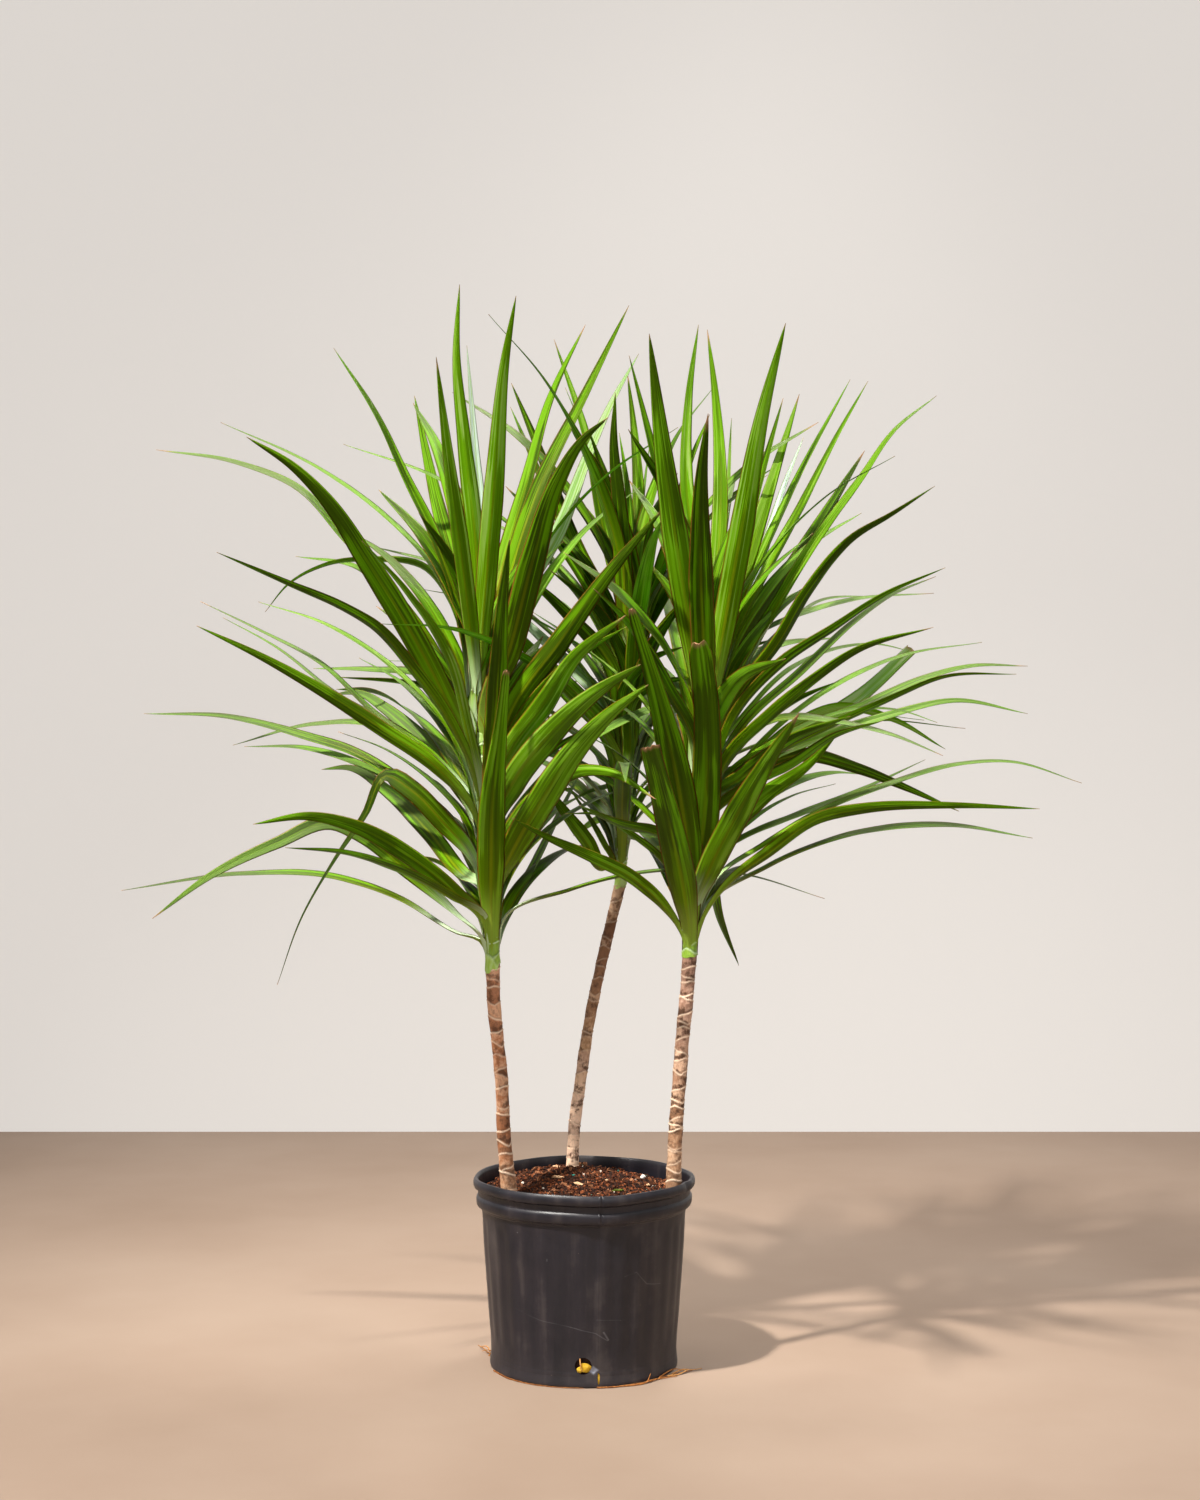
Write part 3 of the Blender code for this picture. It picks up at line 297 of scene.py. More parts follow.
RIGHT_LEAVES = (
    leaf_mm(15, -120, 19, 0.45, 100, 563, 60, 600, 10, 626, -50, 653, -90, 675),
    leaf_mm(25, -150, 17, 0.40, 175, 588, 230, 632, 290, 673, 350, 686, 460, 690, 565, 686),
    leaf_mm(50, 50, 9, 0.50, 165, 598, 225, 640, 310, 689, 380, 716, 460, 740, 530, 744, 617, 718),
    leaf_mm(100, 250, 9, 0.50, 190, 644, 270, 679, 350, 712, 423, 747),
    leaf_mm(190, 200, 17, 0.97, 210, 745, 265, 790, 315, 811, 380, 798, 448, 760),
    leaf_mm(190, 240, 22, 1.04, 220, 740, 290, 790, 350, 832, 406, 884, end="cut"),
    leaf_mm(170, 120, 14, 0.50, 200, 735, 270, 780, 350, 815, 420, 847, 480, 863, 550, 863),
    leaf_mm(170, -50, 11, 0.45, 200, 730, 280, 775, 370, 817, 450, 850, 536, 853),
    leaf_mm(150, 180, 14, 0.75, 220, 740, 300, 775, 380, 802, 460, 820, 550, 804),
    leaf_mm(180, 60, 7, 0.40, 250, 775, 340, 809, 390, 808, 438, 793),
    leaf_mm(220, -120, 10, 0.40, 180, 760, 240, 796, 320, 792, 380, 778, 445, 752),
    leaf_mm(150, 140, 21, 0.15, 200, 725, 270, 753, 340, 736, 400, 712, 465, 683),
    leaf_mm(140, -260, 13, 0.30, 200, 710, 260, 742, 310, 776, 370, 795),
    leaf_mm(160, -300, 16, 0.35, 200, 728, 260, 773, 330, 801),
    leaf_mm(160, -180, 16, 0.36, 180, 750, 230, 800, 280, 842, 340, 883, 433, 911),
    leaf_mm(220, -340, 24, 0.40, 165, 810, 195, 850, 250, 872),
    leaf_mm(220, 250, 7, 0.50, 200, 800, 260, 860, 310, 883, 360, 890, 410, 880),
    leaf_mm(200, -100, 14, 0.30, 190, 805, 245, 866, 310, 910, 370, 950, 448, 985),
    leaf_mm(200, 140, 12, 0.30, 200, 790, 270, 855, 330, 913, 380, 950, 436, 974),
    leaf_mm(240, 320, 7, 0.50, 200, 850, 250, 910, 290, 942, 363, 950),
    leaf_mm(250, -140, 15, 0.15, 195, 830, 240, 890, 280, 958, 335, 1023, 380, 1050, 435, 1086),
    leaf_mm(270, 150, 13, 0.60, 185, 850, 235, 930, 290, 1020, 345, 1097, 385, 1155, 437, 1198),
    leaf_mm(270, 260, 23, 0.30, 190, 870, 240, 955, 295, 1045, 348, 1130),
    leaf_mm(300, 140, 12, 0.60, 185, 890, 225, 975, 270, 1060, 315, 1150, 352, 1216),
    leaf_mm(300, 220, 11, 0.60, 180, 900, 220, 995, 265, 1095, 330, 1218),
    leaf_mm(310, 300, 14, 1.40, 185, 910, 225, 1010, 250, 1090, 272, 1146),
    leaf_mm(320, 160, 20, 0.65, 183, 930, 220, 1050, 267, 1200),
    leaf_mm(320, 40, 15, 0.20, 180, 930, 210, 1060, 247, 1195),
    leaf_mm(300, -160, 28, 0.65, 172, 900, 195, 1030, 220, 1170, 250, 1288),
    leaf_mm(330, 280, 10, 0.75, 165, 930, 178, 1060, 183, 1170),
    leaf_mm(330, 150, 19, 0.65, 163, 950, 170, 1080, 163, 1200, 153, 1280),
    leaf_mm(330, 240, 18, 0.80, 143, 960, 126, 1100, 130, 1200, 142, 1286),
    leaf_mm(300, -140, 30, 0.40, 136, 880, 120, 980, 97, 1140, 81, 1275),
    leaf_mm(310, 30, 15, 0.15, 125, 950, 85, 1130, 56, 1248),
    leaf_mm(280, -260, 28, 0.15, 149, 860, 145, 980, 146, 1100, 154, 1176),
    leaf_mm(60, -220, 29, 0.35, 142, 610, 152, 720, 152, 810, 143, 892, end="round"),
    leaf_mm(45, -250, 31, 0.30, 130, 620, 116, 720, 90, 830, 59, 933, end="nib"),
    leaf_mm(10, -260, 28, 0.35, 126, 570, 110, 650, 82, 762, end="cut"),
    leaf_mm(50, -300, 29, 0.50, 153, 605, 185, 670, 225, 740, 267, 805),
    leaf_mm(90, -160, 22, 0.50, 170, 650, 220, 700, 280, 743, 315, 780),
    leaf_mm(90, 220, 12, 0.35, 148, 635, 154, 612, 166, 555, 192, 492),
    leaf_mm(70, -80, 10, 0.40, 103, 613, 55, 656, 20, 678, -23, 680),
    leaf_mm(120, -200, 13, 0.45, 95, 653, 45, 667, -5, 690),
    leaf_mm(220, -300, 15, 0.30, 100, 840, 50, 922, 12, 959),
)

BACK_LEAVES = (
    leaf_mm(4, -60, 18, 0.50, 26, 610, 3, 645, -23, 680, -55, 725),
    leaf_mm(20, -20, 7, 0.40, 23, 640, 3, 678, -20, 715),
    leaf_mm(250, 160, 16, 0.60, 46, 930, 24, 1030, 3, 1145, -37, 1268),
    leaf_mm(260, 220, 7, 0.50, 40, 950, 15, 1110, -23, 1208),
    leaf_mm(220, 120, 21, 0.15, 35, 920, -10, 1010, -55, 1130, -90, 1214),
    leaf_mm(230, 180, 16, 0.35, 25, 920, -40, 1065, -91, 1184),
    leaf_mm(210, 20, 20, 0.20, 30, 915, -25, 1010, -97, 1086),
    leaf_mm(270, -60, 23, 0.10, 50, 960, 44, 1060, 37, 1140, 39, 1202),
    leaf_mm(250, -20, 19, 0.15, 70, 930, 42, 1055, 5, 1158),
    leaf_mm(270, 80, 13, 0.40, 63, 970, 57, 1070, 44, 1152),
    leaf_mm(280, 160, 18, 0.45, 68, 970, 69, 1070, 61, 1170, 54, 1226),
    leaf_mm(270, 260, 8, 0.45, 70, 980, 75, 1080, 82, 1140),
    leaf_mm(240, 100, 16, 0.30, 80, 920, 110, 1030, 130, 1110, 156, 1175),
    leaf_mm(180, -50, 20, 0.25, 35, 860, -20, 927, -60, 963, -100, 984),
    leaf_mm(200, -100, 15, 0.20, 55, 840, 20, 927, -42, 982),
    leaf_mm(150, 60, 18, 1.10, 30, 805, -30, 875, -85, 930, -120, 970),
    leaf_mm(130, 0, 28, 0.75, 35, 770, -20, 835, -85, 903, -120, 945),
    leaf_mm(190, -140, 18, 0.15, 65, 820, 85, 890, 118, 939),
    leaf_mm(170, -120, 16, 0.45, 55, 840, 85, 872, 124, 887),
    leaf_mm(160, -100, 16, 0.55, 65, 825, 100, 843, 137, 849),
)

HEADS = {
    "left": Head(LEFT_CANE, LEFT_STEM, LEFT_LEAVES, 15, 90, 160),
    "right": Head(RIGHT_CANE, RIGHT_STEM, RIGHT_LEAVES, 14, 90, 160),
    "back": Head(BACK_CANE, BACK_STEM, BACK_LEAVES, 22, 90, 300),
}


def smooth_route(points, count):
    """Give count evenly spaced points on a smooth curve through the points."""
    points = np.array(points, dtype=float)
    along = np.concatenate(([0.0], np.cumsum(np.linalg.norm(np.diff(points, axis=0), axis=1))))
    slope = np.gradient(points, along, axis=0)
    place = np.linspace(0.0, along[-1], count)
    start = np.clip(np.searchsorted(along, place, side="right") - 1, 0, len(points) - 2)
    span = (along[start + 1] - along[start])[:, None]
    t = (place - along[start])[:, None] / span
    ends = points[start] + (3 * t**2 - 2 * t**3) * (points[start + 1] - points[start])
    bends = (t**3 - 2 * t**2 + t) * slope[start] + (t**3 - t**2) * slope[start + 1]
    return ends + bends * span


def unit(vectors):
    """Scale one vector, or each row of an array, to length 1."""
    return vectors / np.linalg.norm(vectors, axis=-1, keepdims=True)


def ease(values):
    """Rise smoothly from 0 to 1."""
    values = np.clip(values, 0.0, 1.0)
    return values * values * (3 - 2 * values)


def behind_view(seen, depth):
    """Turn a point of the front view into the place at that depth which looks the same."""
    flat = np.array((seen[0], 0.0, seen[1]))
    return VIEWPOINT + (flat - VIEWPOINT) * (depth - VIEWPOINT[1]) / -VIEWPOINT[1]


def trunk_route(trunk, count):
    """Give count points up the middle of a cane or a green stem."""
    depths = np.linspace(*trunk.depth, len(trunk.seen))
    return smooth_route([behind_view(seen, depth) for seen, depth in zip(trunk.seen, depths)], count)


def stem_point(stem, height):
    """Give the point of a green stem's middle line at a height above its foot."""
    route = trunk_route(stem, 20)
    heights = route[:, 2] - route[0, 2]
    return np.array([np.interp(height, heights, route[:, axis]) for axis in range(3)])


def stem_radius(stem, height):
    """Give a green stem's radius at a height above its foot."""
    route = trunk_route(stem, len(stem.radii))
    return np.interp(height, route[:, 2] - route[0, 2], stem.radii)


def rooted(root, places):
    """Lead a leaf from the stem's middle through its collar to its places."""
    outward = unit((places[0] - root) * (1, 1, 0))
    collar = root + outward * COLLAR_RISE + np.array((0, 0, COLLAR_RISE))
    return [root, collar] + list(places)


def leaf_route(leaf, stem, swing):
    """Give the points that a leaf passes, its tip moved by swing towards the back."""
    root = stem_point(stem, leaf.root)
    steps = np.cumsum([math.dist(a, b) for a, b in zip(((root[0], root[2]),) + leaf.seen[:-1], leaf.seen)])
    depths = root[1] + (leaf.depth + swing) * steps / steps[-1]
    return rooted(root, [behind_view(point, depth) for point, depth in zip(leaf.seen, depths)])


def arching_route(stem, root_height, facing, lift, length):
    """Give the points of a leaf that rises from the stem at its lift and arches over."""
    root = stem_point(stem, root_height)
    places = []
    place = root
    for arch in (ARCH, 0.0, -ARCH, -2 * ARCH):
        rise = math.radians(lift + arch)
        step = (math.cos(rise) * math.cos(facing), math.cos(rise) * math.sin(facing), math.sin(rise))
        place = place + np.array(step) * length / 4
        places.append(place)
    return rooted(root, places)


def leaf_frame(route, outward, count, turn, twist):
    """Give a leaf's middle line, its sideways direction and its upward face at count stations.

    The blade clasps the stem at its root. Further out it rolls until it is turned by turn radians from
    facing the viewpoint, or stays level where turn is None, and it twists on towards its tip.
    """
    middle = smooth_route(route, count)
    along = unit(np.gradient(middle, axis=0))
    share = np.linspace(0.0, 1.0, count)
    level = np.cross((0, 0, 1), outward)
    clasp = unit(level - along * (along @ level)[:, None])
    top = np.cross(along, clasp)
    roll = math.radians(twist) * ease(share * 2 - 0.6)
    if turn is not None:
        across = np.cross(along, middle - VIEWPOINT)
        facing = np.unwrap(np.arctan2(np.sum(across * top, axis=1), np.sum(across * clasp, axis=1)))
        ways = [facing + math.pi * half + tilt for half in range(-3, 4) for tilt in (-turn, turn)]
        nearest = min(ways, key=lambda angles: abs(angles[count // 3:].mean()))
        roll = roll + nearest * ease(share / FREE_FROM)
    roll = roll[:, None]
    side = clasp * np.cos(roll) + top * np.sin(roll)
    return middle, side, np.cross(along, side)


def half_widths(width, count, end):
    """Give half the plain blade's width at each station."""
    share = np.linspace(0.0, 1.0, count)
    swell = 0.35 + 0.65 * ease(share / FREE_FROM)
    taper = np.ones(count) if end != "point" else np.minimum(1.0, ((1 - share) / 0.6) ** 0.65)
    return np.maximum(width / 2 * swell * taper, TIP_HALF_WIDTH)


def blade_mesh(stations, halves, margin=0.0):
    """Give the corners and triangles of a plain closed blade, for finding crossings."""
    middle, side, up = stations
    halves = halves[:, None] + margin
    raised = up * halves * BLADE_FOLD
    thick = up * (BLADE_THICKNESS / 2 + margin)
    rows = (middle - side * halves + raised, middle - thick, middle + side * halves + raised, middle + thick)
    corners = np.stack(rows, axis=1).reshape(-1, 3)
    last = len(corners) - 4
    faces = [(0, 3, 1), (3, 2, 1), (last, last + 1, last + 3), (last + 1, last + 2, last + 3)]
    for first in range(0, last, 4):
        for edge in range(4):
            near, ahead = first + edge, first + (edge + 1) % 4
            if edge % 2 == 0:
                faces += [(near, ahead, ahead + 4), (near, ahead + 4, near + 4)]
            else:
                faces += [(near, ahead, near + 4), (ahead, ahead + 4, near + 4)]
    return corners, faces


class Blade:
    """One leaf blade on a head, with the trees that say what it would cross."""

    def __init__(self, head, root, route, width, tone, turn=None, twist=0, end="point"):
        self.head = head
        self.root = root
        self.route = route
        self.outward = unit((route[2] - route[0]) * (1, 1, 0))
        self.width = width
        self.tone = tone
        self.turn = turn
        self.twist = twist
        self.end = end
        self.count = len(route) + 2
        self.frame = leaf_frame(route, self.outward, self.count, turn, twist)
        self.halves = half_widths(width, self.count, end)

    def tree(self, margin=0.0, outer=False):
        """Give the blade, or its part clear of the stem, as a tree for finding crossings."""
        first = round(self.count * FREE_FROM) if outer else 0
        stations = [rows[first:] for rows in self.frame]
        return BVHTree.FromPolygons(*map(list, blade_mesh(stations, self.halves[first:], margin)))


class Thicket:
    """What stands so far: blades, and the solids that no blade may touch."""

    def __init__(self):
        self.blades = []
        self.wholes = []
        self.outers = []
        self.solids = []

    def add_solid(self, head, mesh):
        """Stand a solid that belongs to a head, or to none."""
        self.solids.append((head, BVHTree.FromPolygons(*map(list, mesh))))

    def crossings(self, blade):
        """Count what a blade would cross: first other pieces, then blades of its own head."""
        guard = blade.tree(BLADE_CLEARANCE)
        others = sum(bool(guard.overlap(tree)) for head, tree in self.solids if head != blade.head)
        others += sum(bool(guard.overlap(tree)) for placed, tree in zip(self.blades, self.wholes)
                      if placed.head != blade.head)
        outer = blade.tree(BLADE_THICKNESS, outer=True)
        own = sum(bool(outer.overlap(tree)) for placed, tree in zip(self.blades, self.outers)
                  if placed.head == blade.head)
        return others, own

    def add_clear(self, choices):
        """Take the first of the choices that crosses nothing, or else the one that crosses least.

        A leaf that would cross another head or a cane in every choice is left out.
        """
        best = None
        for blade in choices:
            found = self.crossings(blade)
            if best is None or found < best[0]:
                best = (found, blade)
            if found == (0, 0):
                break
        (others, _), blade = best
        if others:
            return
        self.blades.append(blade)
        self.wholes.append(blade.tree())
        self.outers.append(blade.tree(outer=True))


def swings(step, most):
    """Give 0 and then ever wider steps to either side."""
    yield 0.0
    for reach in np.arange(step, most + step / 2, step):
        yield reach
        yield -reach


def outline_blades(name, head, leaf):
    """Give the ways to place a leaf of the outline, nearest to its own depth first."""
    width = max(leaf.width, NARROWEST_LEAF)
    turn = math.acos(leaf.width / width)
    for swing in swings(*OUTLINE_SWING):
        route = leaf_route(leaf, head.stem, swing)
        yield Blade(name, leaf.root, route, width, leaf.tone, turn, leaf.twist, leaf.end)


def arching_blades(name, head, rule, level, facing, size, tone, twist):
    """Give the ways to place a leaf by a rule, nearest to its own direction first."""
    length, width = size
    lift = rule.lift[0] + (rule.lift[1] - rule.lift[0]) * level
    root = rule.root[0] + rule.root[1] * level
    for swing in swings(*rule.swing):
        for dip in rule.dips:
            route = arching_route(head.stem, root, math.radians(facing + swing), lift + dip, length)
            yield Blade(name, root, route, width, tone, twist=twist)


def hidden_blades(name, head, number, draw):
    """Give the ways to place one of the leaves behind the outline."""
    level = (number + 0.5) / head.hidden
    facing = head.facing + head.spread * (number * GOLDEN_TURN % 1.0 - 0.5)
    size = draw.uniform(*HIDDEN.length), draw.uniform(*HIDDEN.width)
    twist = draw.uniform(-HIDDEN.twist, HIDDEN.twist)
    tone = HIDDEN.tone[0] + HIDDEN.tone[1] * (number * 0.37 % 1.0)
    return arching_blades(name, head, HIDDEN, level, facing, size, tone, twist)


def inner_blades(name, head, number, draw):
    """Give the ways to place one of the shorter shaded leaves that fill a head."""
    level = (number + 0.5) / INNER_COUNT
    fan = INNER_FAN[0] + INNER_FAN[1] * level
    facing = BACKWARDS + fan * ((number * GOLDEN_TURN + 0.21) % 1.0 - 0.5)
    size = draw.uniform(*INNER.length) * (0.7 + 0.3 * level), draw.uniform(*INNER.width)
    tone = INNER.tone[0] + INNER.tone[1] * (number * 0.53 % 1.0)
    return arching_blades(name, head, INNER, level, facing, size, tone, INNER.twist * math.sin(number * 2.1))


def all_blades():
    """Place every leaf, the outline first, so that no two heads cross."""
    thicket = Thicket()
    for name, head in HEADS.items():
        thicket.add_solid(name, stem_mesh(head.stem))
        thicket.add_solid(None, plain_cane_mesh(head.cane))
    for name, head in HEADS.items():
        for leaf in head.leaves:
            thicket.add_clear(outline_blades(name, head, leaf))
    draw = random.Random(HIDDEN_SEED)
    for name, head in HEADS.items():
        for number in range(head.hidden):
            thicket.add_clear(hidden_blades(name, head, number, draw))
    for name, head in HEADS.items():
        for number in range(INNER_COUNT):
            thicket.add_clear(inner_blades(name, head, number, draw))
    return thicket.blades


def tube_faces(corners, sides):
    """Give the faces of a closed tube of rings: its two ends, and the squares between the rings."""
    last = corners - sides
    faces = [tuple(reversed(range(sides))), tuple(range(last, corners))]
    for ring in range(0, last, sides):
        for step in range(sides):
            near, ahead = ring + step, ring + (step + 1) % sides
            faces.append((near, ahead, ahead + sides, near + sides))
    return faces


def upright_tube(route, radii, sides):
    """Give a closed tube whose rings lie level, so that its ends are flat and level too."""
    corners = []
    for (x, y, z), radius in zip(route, radii):
        for step in range(sides):
            angle = 2 * math.pi * (step + 0.5) / sides
            corners.append((x + radius * math.cos(angle), y + radius * math.sin(angle), z))
    return corners, tube_faces(len(corners), sides)


def cane_line(cane):
    """Give a cane's middle line from its foot in the mix to its top, and its plain radius there."""
    bare = trunk_route(cane, 60)
    foot = (bare[0, 0] * CANE_FOOT_INSET, bare[0, 1] * CANE_FOOT_INSET, CANE_FOOT)
    line = np.vstack((foot, bare))
    heights = np.linspace(bare[0, 2], bare[-1, 2], len(cane.radii))
    return line, np.interp(line[:, 2], heights, cane.radii)


def plain_cane_mesh(cane):
    """Give a cane with a low step at each leaf scar, for finding crossings."""
    line, plain = cane_line(cane)
    bare = line[-1, 2] - line[1, 2]
    count = round(bare / CANE_RING)
    heights = [CANE_FOOT]
    relief = [0.0]
    for ring in range(count):
        start = line[1, 2] + bare * ring / count
        heights += [start, start + 0.8 * bare / count]
        relief += [-CANE_RING_RELIEF, CANE_RING_RELIEF]
    heights.append(line[-1, 2])
    relief.append(0.0)
    route = [[np.interp(height, line[:, 2], line[:, axis]) for axis in range(3)] for height in heights]
    return upright_tube(route, np.interp(heights, line[:, 2], plain) + np.array(relief), CANE_SIDES)


def stem_mesh(stem):
    """Give the plain green stem that carries a head's leaves, a gap above its cane."""
    route = trunk_route(stem, len(stem.radii))
    route[0, 2] += STEM_GAP
    return upright_tube(route, stem.radii, STEM_SIDES)


def soil_height(x, y):
    """Give the height of the potting mix."""
    spread = ((x - SOIL_PEAK[0]) ** 2 + (y - SOIL_PEAK[1]) ** 2) / (2 * SOIL_SPREAD**2)
    lumps = math.sin(151 * x + 2.0) * math.sin(173 * y) + math.sin(97 * x - 131 * y)
    return SOIL_SIDE + SOIL_MOUND * math.exp(-spread) + SOIL_LUMP * lumps


def sign(operation, swapped=False):
    """Make a sign between wires, which adds its Math node to their tree."""
    def run(wire, *other):
        return wire.tree.work(operation, *((*other, wire) if swapped else (wire, *other)))
    return run


class Wire:
    """The value of a socket, on which sums are written as on a number."""

    __add__, __radd__ = sign("ADD"), sign("ADD", swapped=True)
    __sub__, __rsub__ = sign("SUBTRACT"), sign("SUBTRACT", swapped=True)
    __mul__, __rmul__ = sign("MULTIPLY"), sign("MULTIPLY", swapped=True)
    __lt__, __gt__ = sign("LESS_THAN"), sign("GREATER_THAN")
    __pow__, __abs__ = sign("POWER"), sign("ABSOLUTE")

    def __init__(self, tree, socket):
        self.tree = tree
        self.socket = socket


class Tree:
    """A tree of nodes for a finish or for geometry, written one node at a time."""

    def __init__(self, tree):
        self.tree = tree
        self.tree.nodes.clear()

    def node(self, kind, settings=None, sockets=None, output=0):
        """Add a node, set it up, feed its sockets with values or wires, and give one output."""
        node = self.tree.nodes.new(kind)
        for name, value in (settings or {}).items():
            if name == "stops":
                set_stops(node.color_ramp, value)
            else:
                setattr(node, name, value)
        for name, value in (sockets or {}).items():
            socket = node.inputs[name]
            if isinstance(value, Wire):
                self.tree.links.new(value.socket, socket)
            elif socket.type == "RGBA":
                socket.default_value = (*value, 1.0)
            elif socket.type == "VECTOR" and isinstance(value, (int, float)):
                socket.default_value = (value,) * 3
            else:
                socket.default_value = value
        return Wire(self, node.outputs[output]) if node.outputs else None

    def work(self, operation, *terms):
        """Do a sum, on vectors where a term is one."""
        wide = any(isinstance(term, Wire) and term.socket.type in ("VECTOR", "RGBA") for term in terms)
        kind = "ShaderNodeVectorMath" if wide else "ShaderNodeMath"
        return self.node(kind, {"operation": operation}, dict(enumerate(terms)))

    def place(self):
        """Give the place on the object."""
        return self.node("ShaderNodeTexCoord", output="Object")

    def reading(self, name):
        """Read a number that the surface carries under a name."""
        return self.node("ShaderNodeAttribute", {"attribute_name": name}, output="Fac")

    def vector(self, x, y, z):
        """Join three numbers."""
        return self.node("ShaderNodeCombineXYZ", {}, {"X": x, "Y": y, "Z": z})

    def parts(self, vector):
        """Take a vector apart."""
        return [self.node("ShaderNodeSeparateXYZ", {}, {"Vector": vector}, axis) for axis in "XYZ"]

    def cloud(self, vector, scale, detail=2.0, roughness=0.5):
        """Give soft noise from 0 to 1."""
        sockets = {"Vector": vector, "Scale": scale, "Detail": detail, "Roughness": roughness}
        return self.node("ShaderNodeTexNoise", {}, sockets)

    def step(self, value, low, high):
        """Rise smoothly from 0 at low to 1 at high."""
        sockets = {"Value": value, "From Min": low, "From Max": high}
        return self.node("ShaderNodeMapRange", {"interpolation_type": "SMOOTHSTEP"}, sockets)

    def mix(self, share, first, second):
        """Blend two colours."""
        return self.node("ShaderNodeMix", {"data_type": "RGBA"}, {0: share, 6: first, 7: second}, 2)

    def ramp(self, value, stops):
        """Turn a number into a colour by stops."""
        return self.node("ShaderNodeValToRGB", {"stops": stops}, {"Fac": value})

    def coats(self, colour, *coats):
        """Lay coats over a colour, each a share and a colour of its own."""
        for share, tone in coats:
            colour = self.mix(share, colour, tone)
        return colour

    def skin(self, colour, roughness, relief=None, depth=0.0, more=None):
        """Add a surface with a relief of a depth in metres, and more sockets where it has them."""
        sockets = {"Base Color": colour, "Roughness": roughness, **(more or {})}
        if relief is not None:
            sockets["Normal"] = self.node("ShaderNodeBump", {}, {"Height": relief, "Distance": depth})
        return self.node("ShaderNodeBsdfPrincipled", {}, sockets)

    def end(self, shader):
        """Finish with a shader."""
        self.node("ShaderNodeOutputMaterial", {}, {"Surface": shader})


def set_stops(ramp, stops):
    """Give a ramp its stops, each a place and a colour."""
    while len(ramp.elements) > 1:
        ramp.elements.remove(ramp.elements[-1])
    for number, (place, colour) in enumerate(stops):
        stop = ramp.elements[0] if number == 0 else ramp.elements.new(place)
        stop.position = place
        stop.color = (*colour, 1.0)


def new_finish(name):
    """Start a finish."""
    material = bpy.data.materials.new(name)
    material.use_nodes = True
    return material, Tree(material.node_tree)


def leaf_finish():
    """Glossy streaked green, olive along the midrib, wine red at the edge, and paler below and at the root.

    The level parts of a leaf have a painted grey sheen, the few leaves of the brightest tone a painted silver
    reflection, and the lower part of each leaf a painted olive shade. Dappled patches of light and shade are
    painted over the blades, and the pale root is brightened to stand in for the light and gloss it catches.
    """
    material, tree = new_finish("leaf_green")
    across, face, reach, tone, luck, dry, level = map(
        tree.reading, ("across", "face", "reach", "tone", "luck", "dry", "level"))
    span = abs(across)
    drift = luck * 40
    fine = tree.cloud(tree.vector(across * 7, reach * 1.2, drift), 1.0, 2.0, 0.6) - 0.5
    streak = tree.step(tree.cloud(tree.vector(across * 3.2, reach * 1.8, drift + 7), 1.0, 2.0), 0.42, 0.58)
    # The patches below paint dappled light and shade across the blade, and the streaks brighten where the
    # painted light falls
    patch = tree.cloud(tree.vector(across * 0.7, reach * 4.5, drift), 1.0, 1.0) + fine * 0.60
    painted_light = tree.step(patch + streak * 0.06, 0.49, 0.57)
    shade = tone * 0.75 - 0.13 + painted_light * (0.19 + streak * 0.22) + streak * 0.12 + fine * 0.50
    below = face < 0.0
    midrib = tree.step(span, 0.16, 0.05) * tree.step(reach, 0.75, 0.25)
    root = tree.step(reach + fine * 0.12, 0.27, 0.07)
    edge = tree.step(span + fine * 0.04, 0.89, 0.95)
    colour = tree.coats(
        tree.ramp(shade, LEAF_TONES),
        # painted silver reflection on the leaves of the brightest tone
        (tree.step(tone, 0.98, 1.20) * (0.35 + streak * 0.60), LEAF_PAINTED_SILVER),
        (midrib * 0.65, LEAF_MIDRIB),
        # painted grey sheen on the level upper faces
        (level * (1 - below) * (0.20 + luck * 0.20), LEAF_PAINTED_SHEEN),
        (below * 0.12, LEAF_BELOW),
        # painted warm olive shade on the lower part of each leaf
        (tree.step(reach, 0.60, 0.15) * 0.28, LEAF_PAINTED_HEART_SHADE),
        (root * below * 0.70, LEAF_ROOT_BELOW),
        # pale leaf base, brightened with painted light and gloss that it catches
        (root * (0.85 - below * (0.30 + (luck < 0.5) * 0.50)), LEAF_ROOT_AND_PAINTED_LIGHT),
        (edge * 0.80, LEAF_EDGE),
        (dry, LEAF_DRY))
    ribs = tree.cloud(tree.vector(across * 34, reach * 2.0, luck * 9), 1.0, 1.0)
    gloss = 0.32 + fine * 0.20 + below * 0.14 + dry * 0.30
    skin = tree.skin(colour, gloss, ribs, 0.0003, {
        "Specular IOR Level": 0.10, "Specular Tint": (1.0, 1.0, 0.20)})
    glow = tree.node("ShaderNodeBsdfTranslucent", {}, {"Color": LEAF_GLOW})
    # The glow through the leaf is stronger where the painted light falls
    through = 0.08 + tree.step(shade, 0.05, 0.85) * 0.30 - edge * 0.06 - dry * 0.08
    through = through * (1 - tree.step(reach, 0.45, 0.12) * 0.60)
    tree.end(tree.node("ShaderNodeMixShader", {}, {0: through, 1: skin, 2: glow}))
    return material


def shoot_finish():
    """Pale green overlapping leaf bases with mint-white rims."""
    material, tree = new_finish("shoot_green")
    scar, crease, patch = map(tree.reading, ("scar", "crease", "patch"))
    cloud = tree.cloud(tree.place() * (1.0, 1.0, 0.25), 220.0, 3.0)
    colour = tree.ramp(patch * 0.5 + cloud * 0.5, SHOOT_TONES)
    colour = tree.coats(colour, (scar * 0.6, SHOOT_RIM), (crease * 0.7, SHOOT_CREASE))
    tree.end(tree.skin(colour, 0.38 + cloud * 0.12, cloud, 0.0004))
    return material


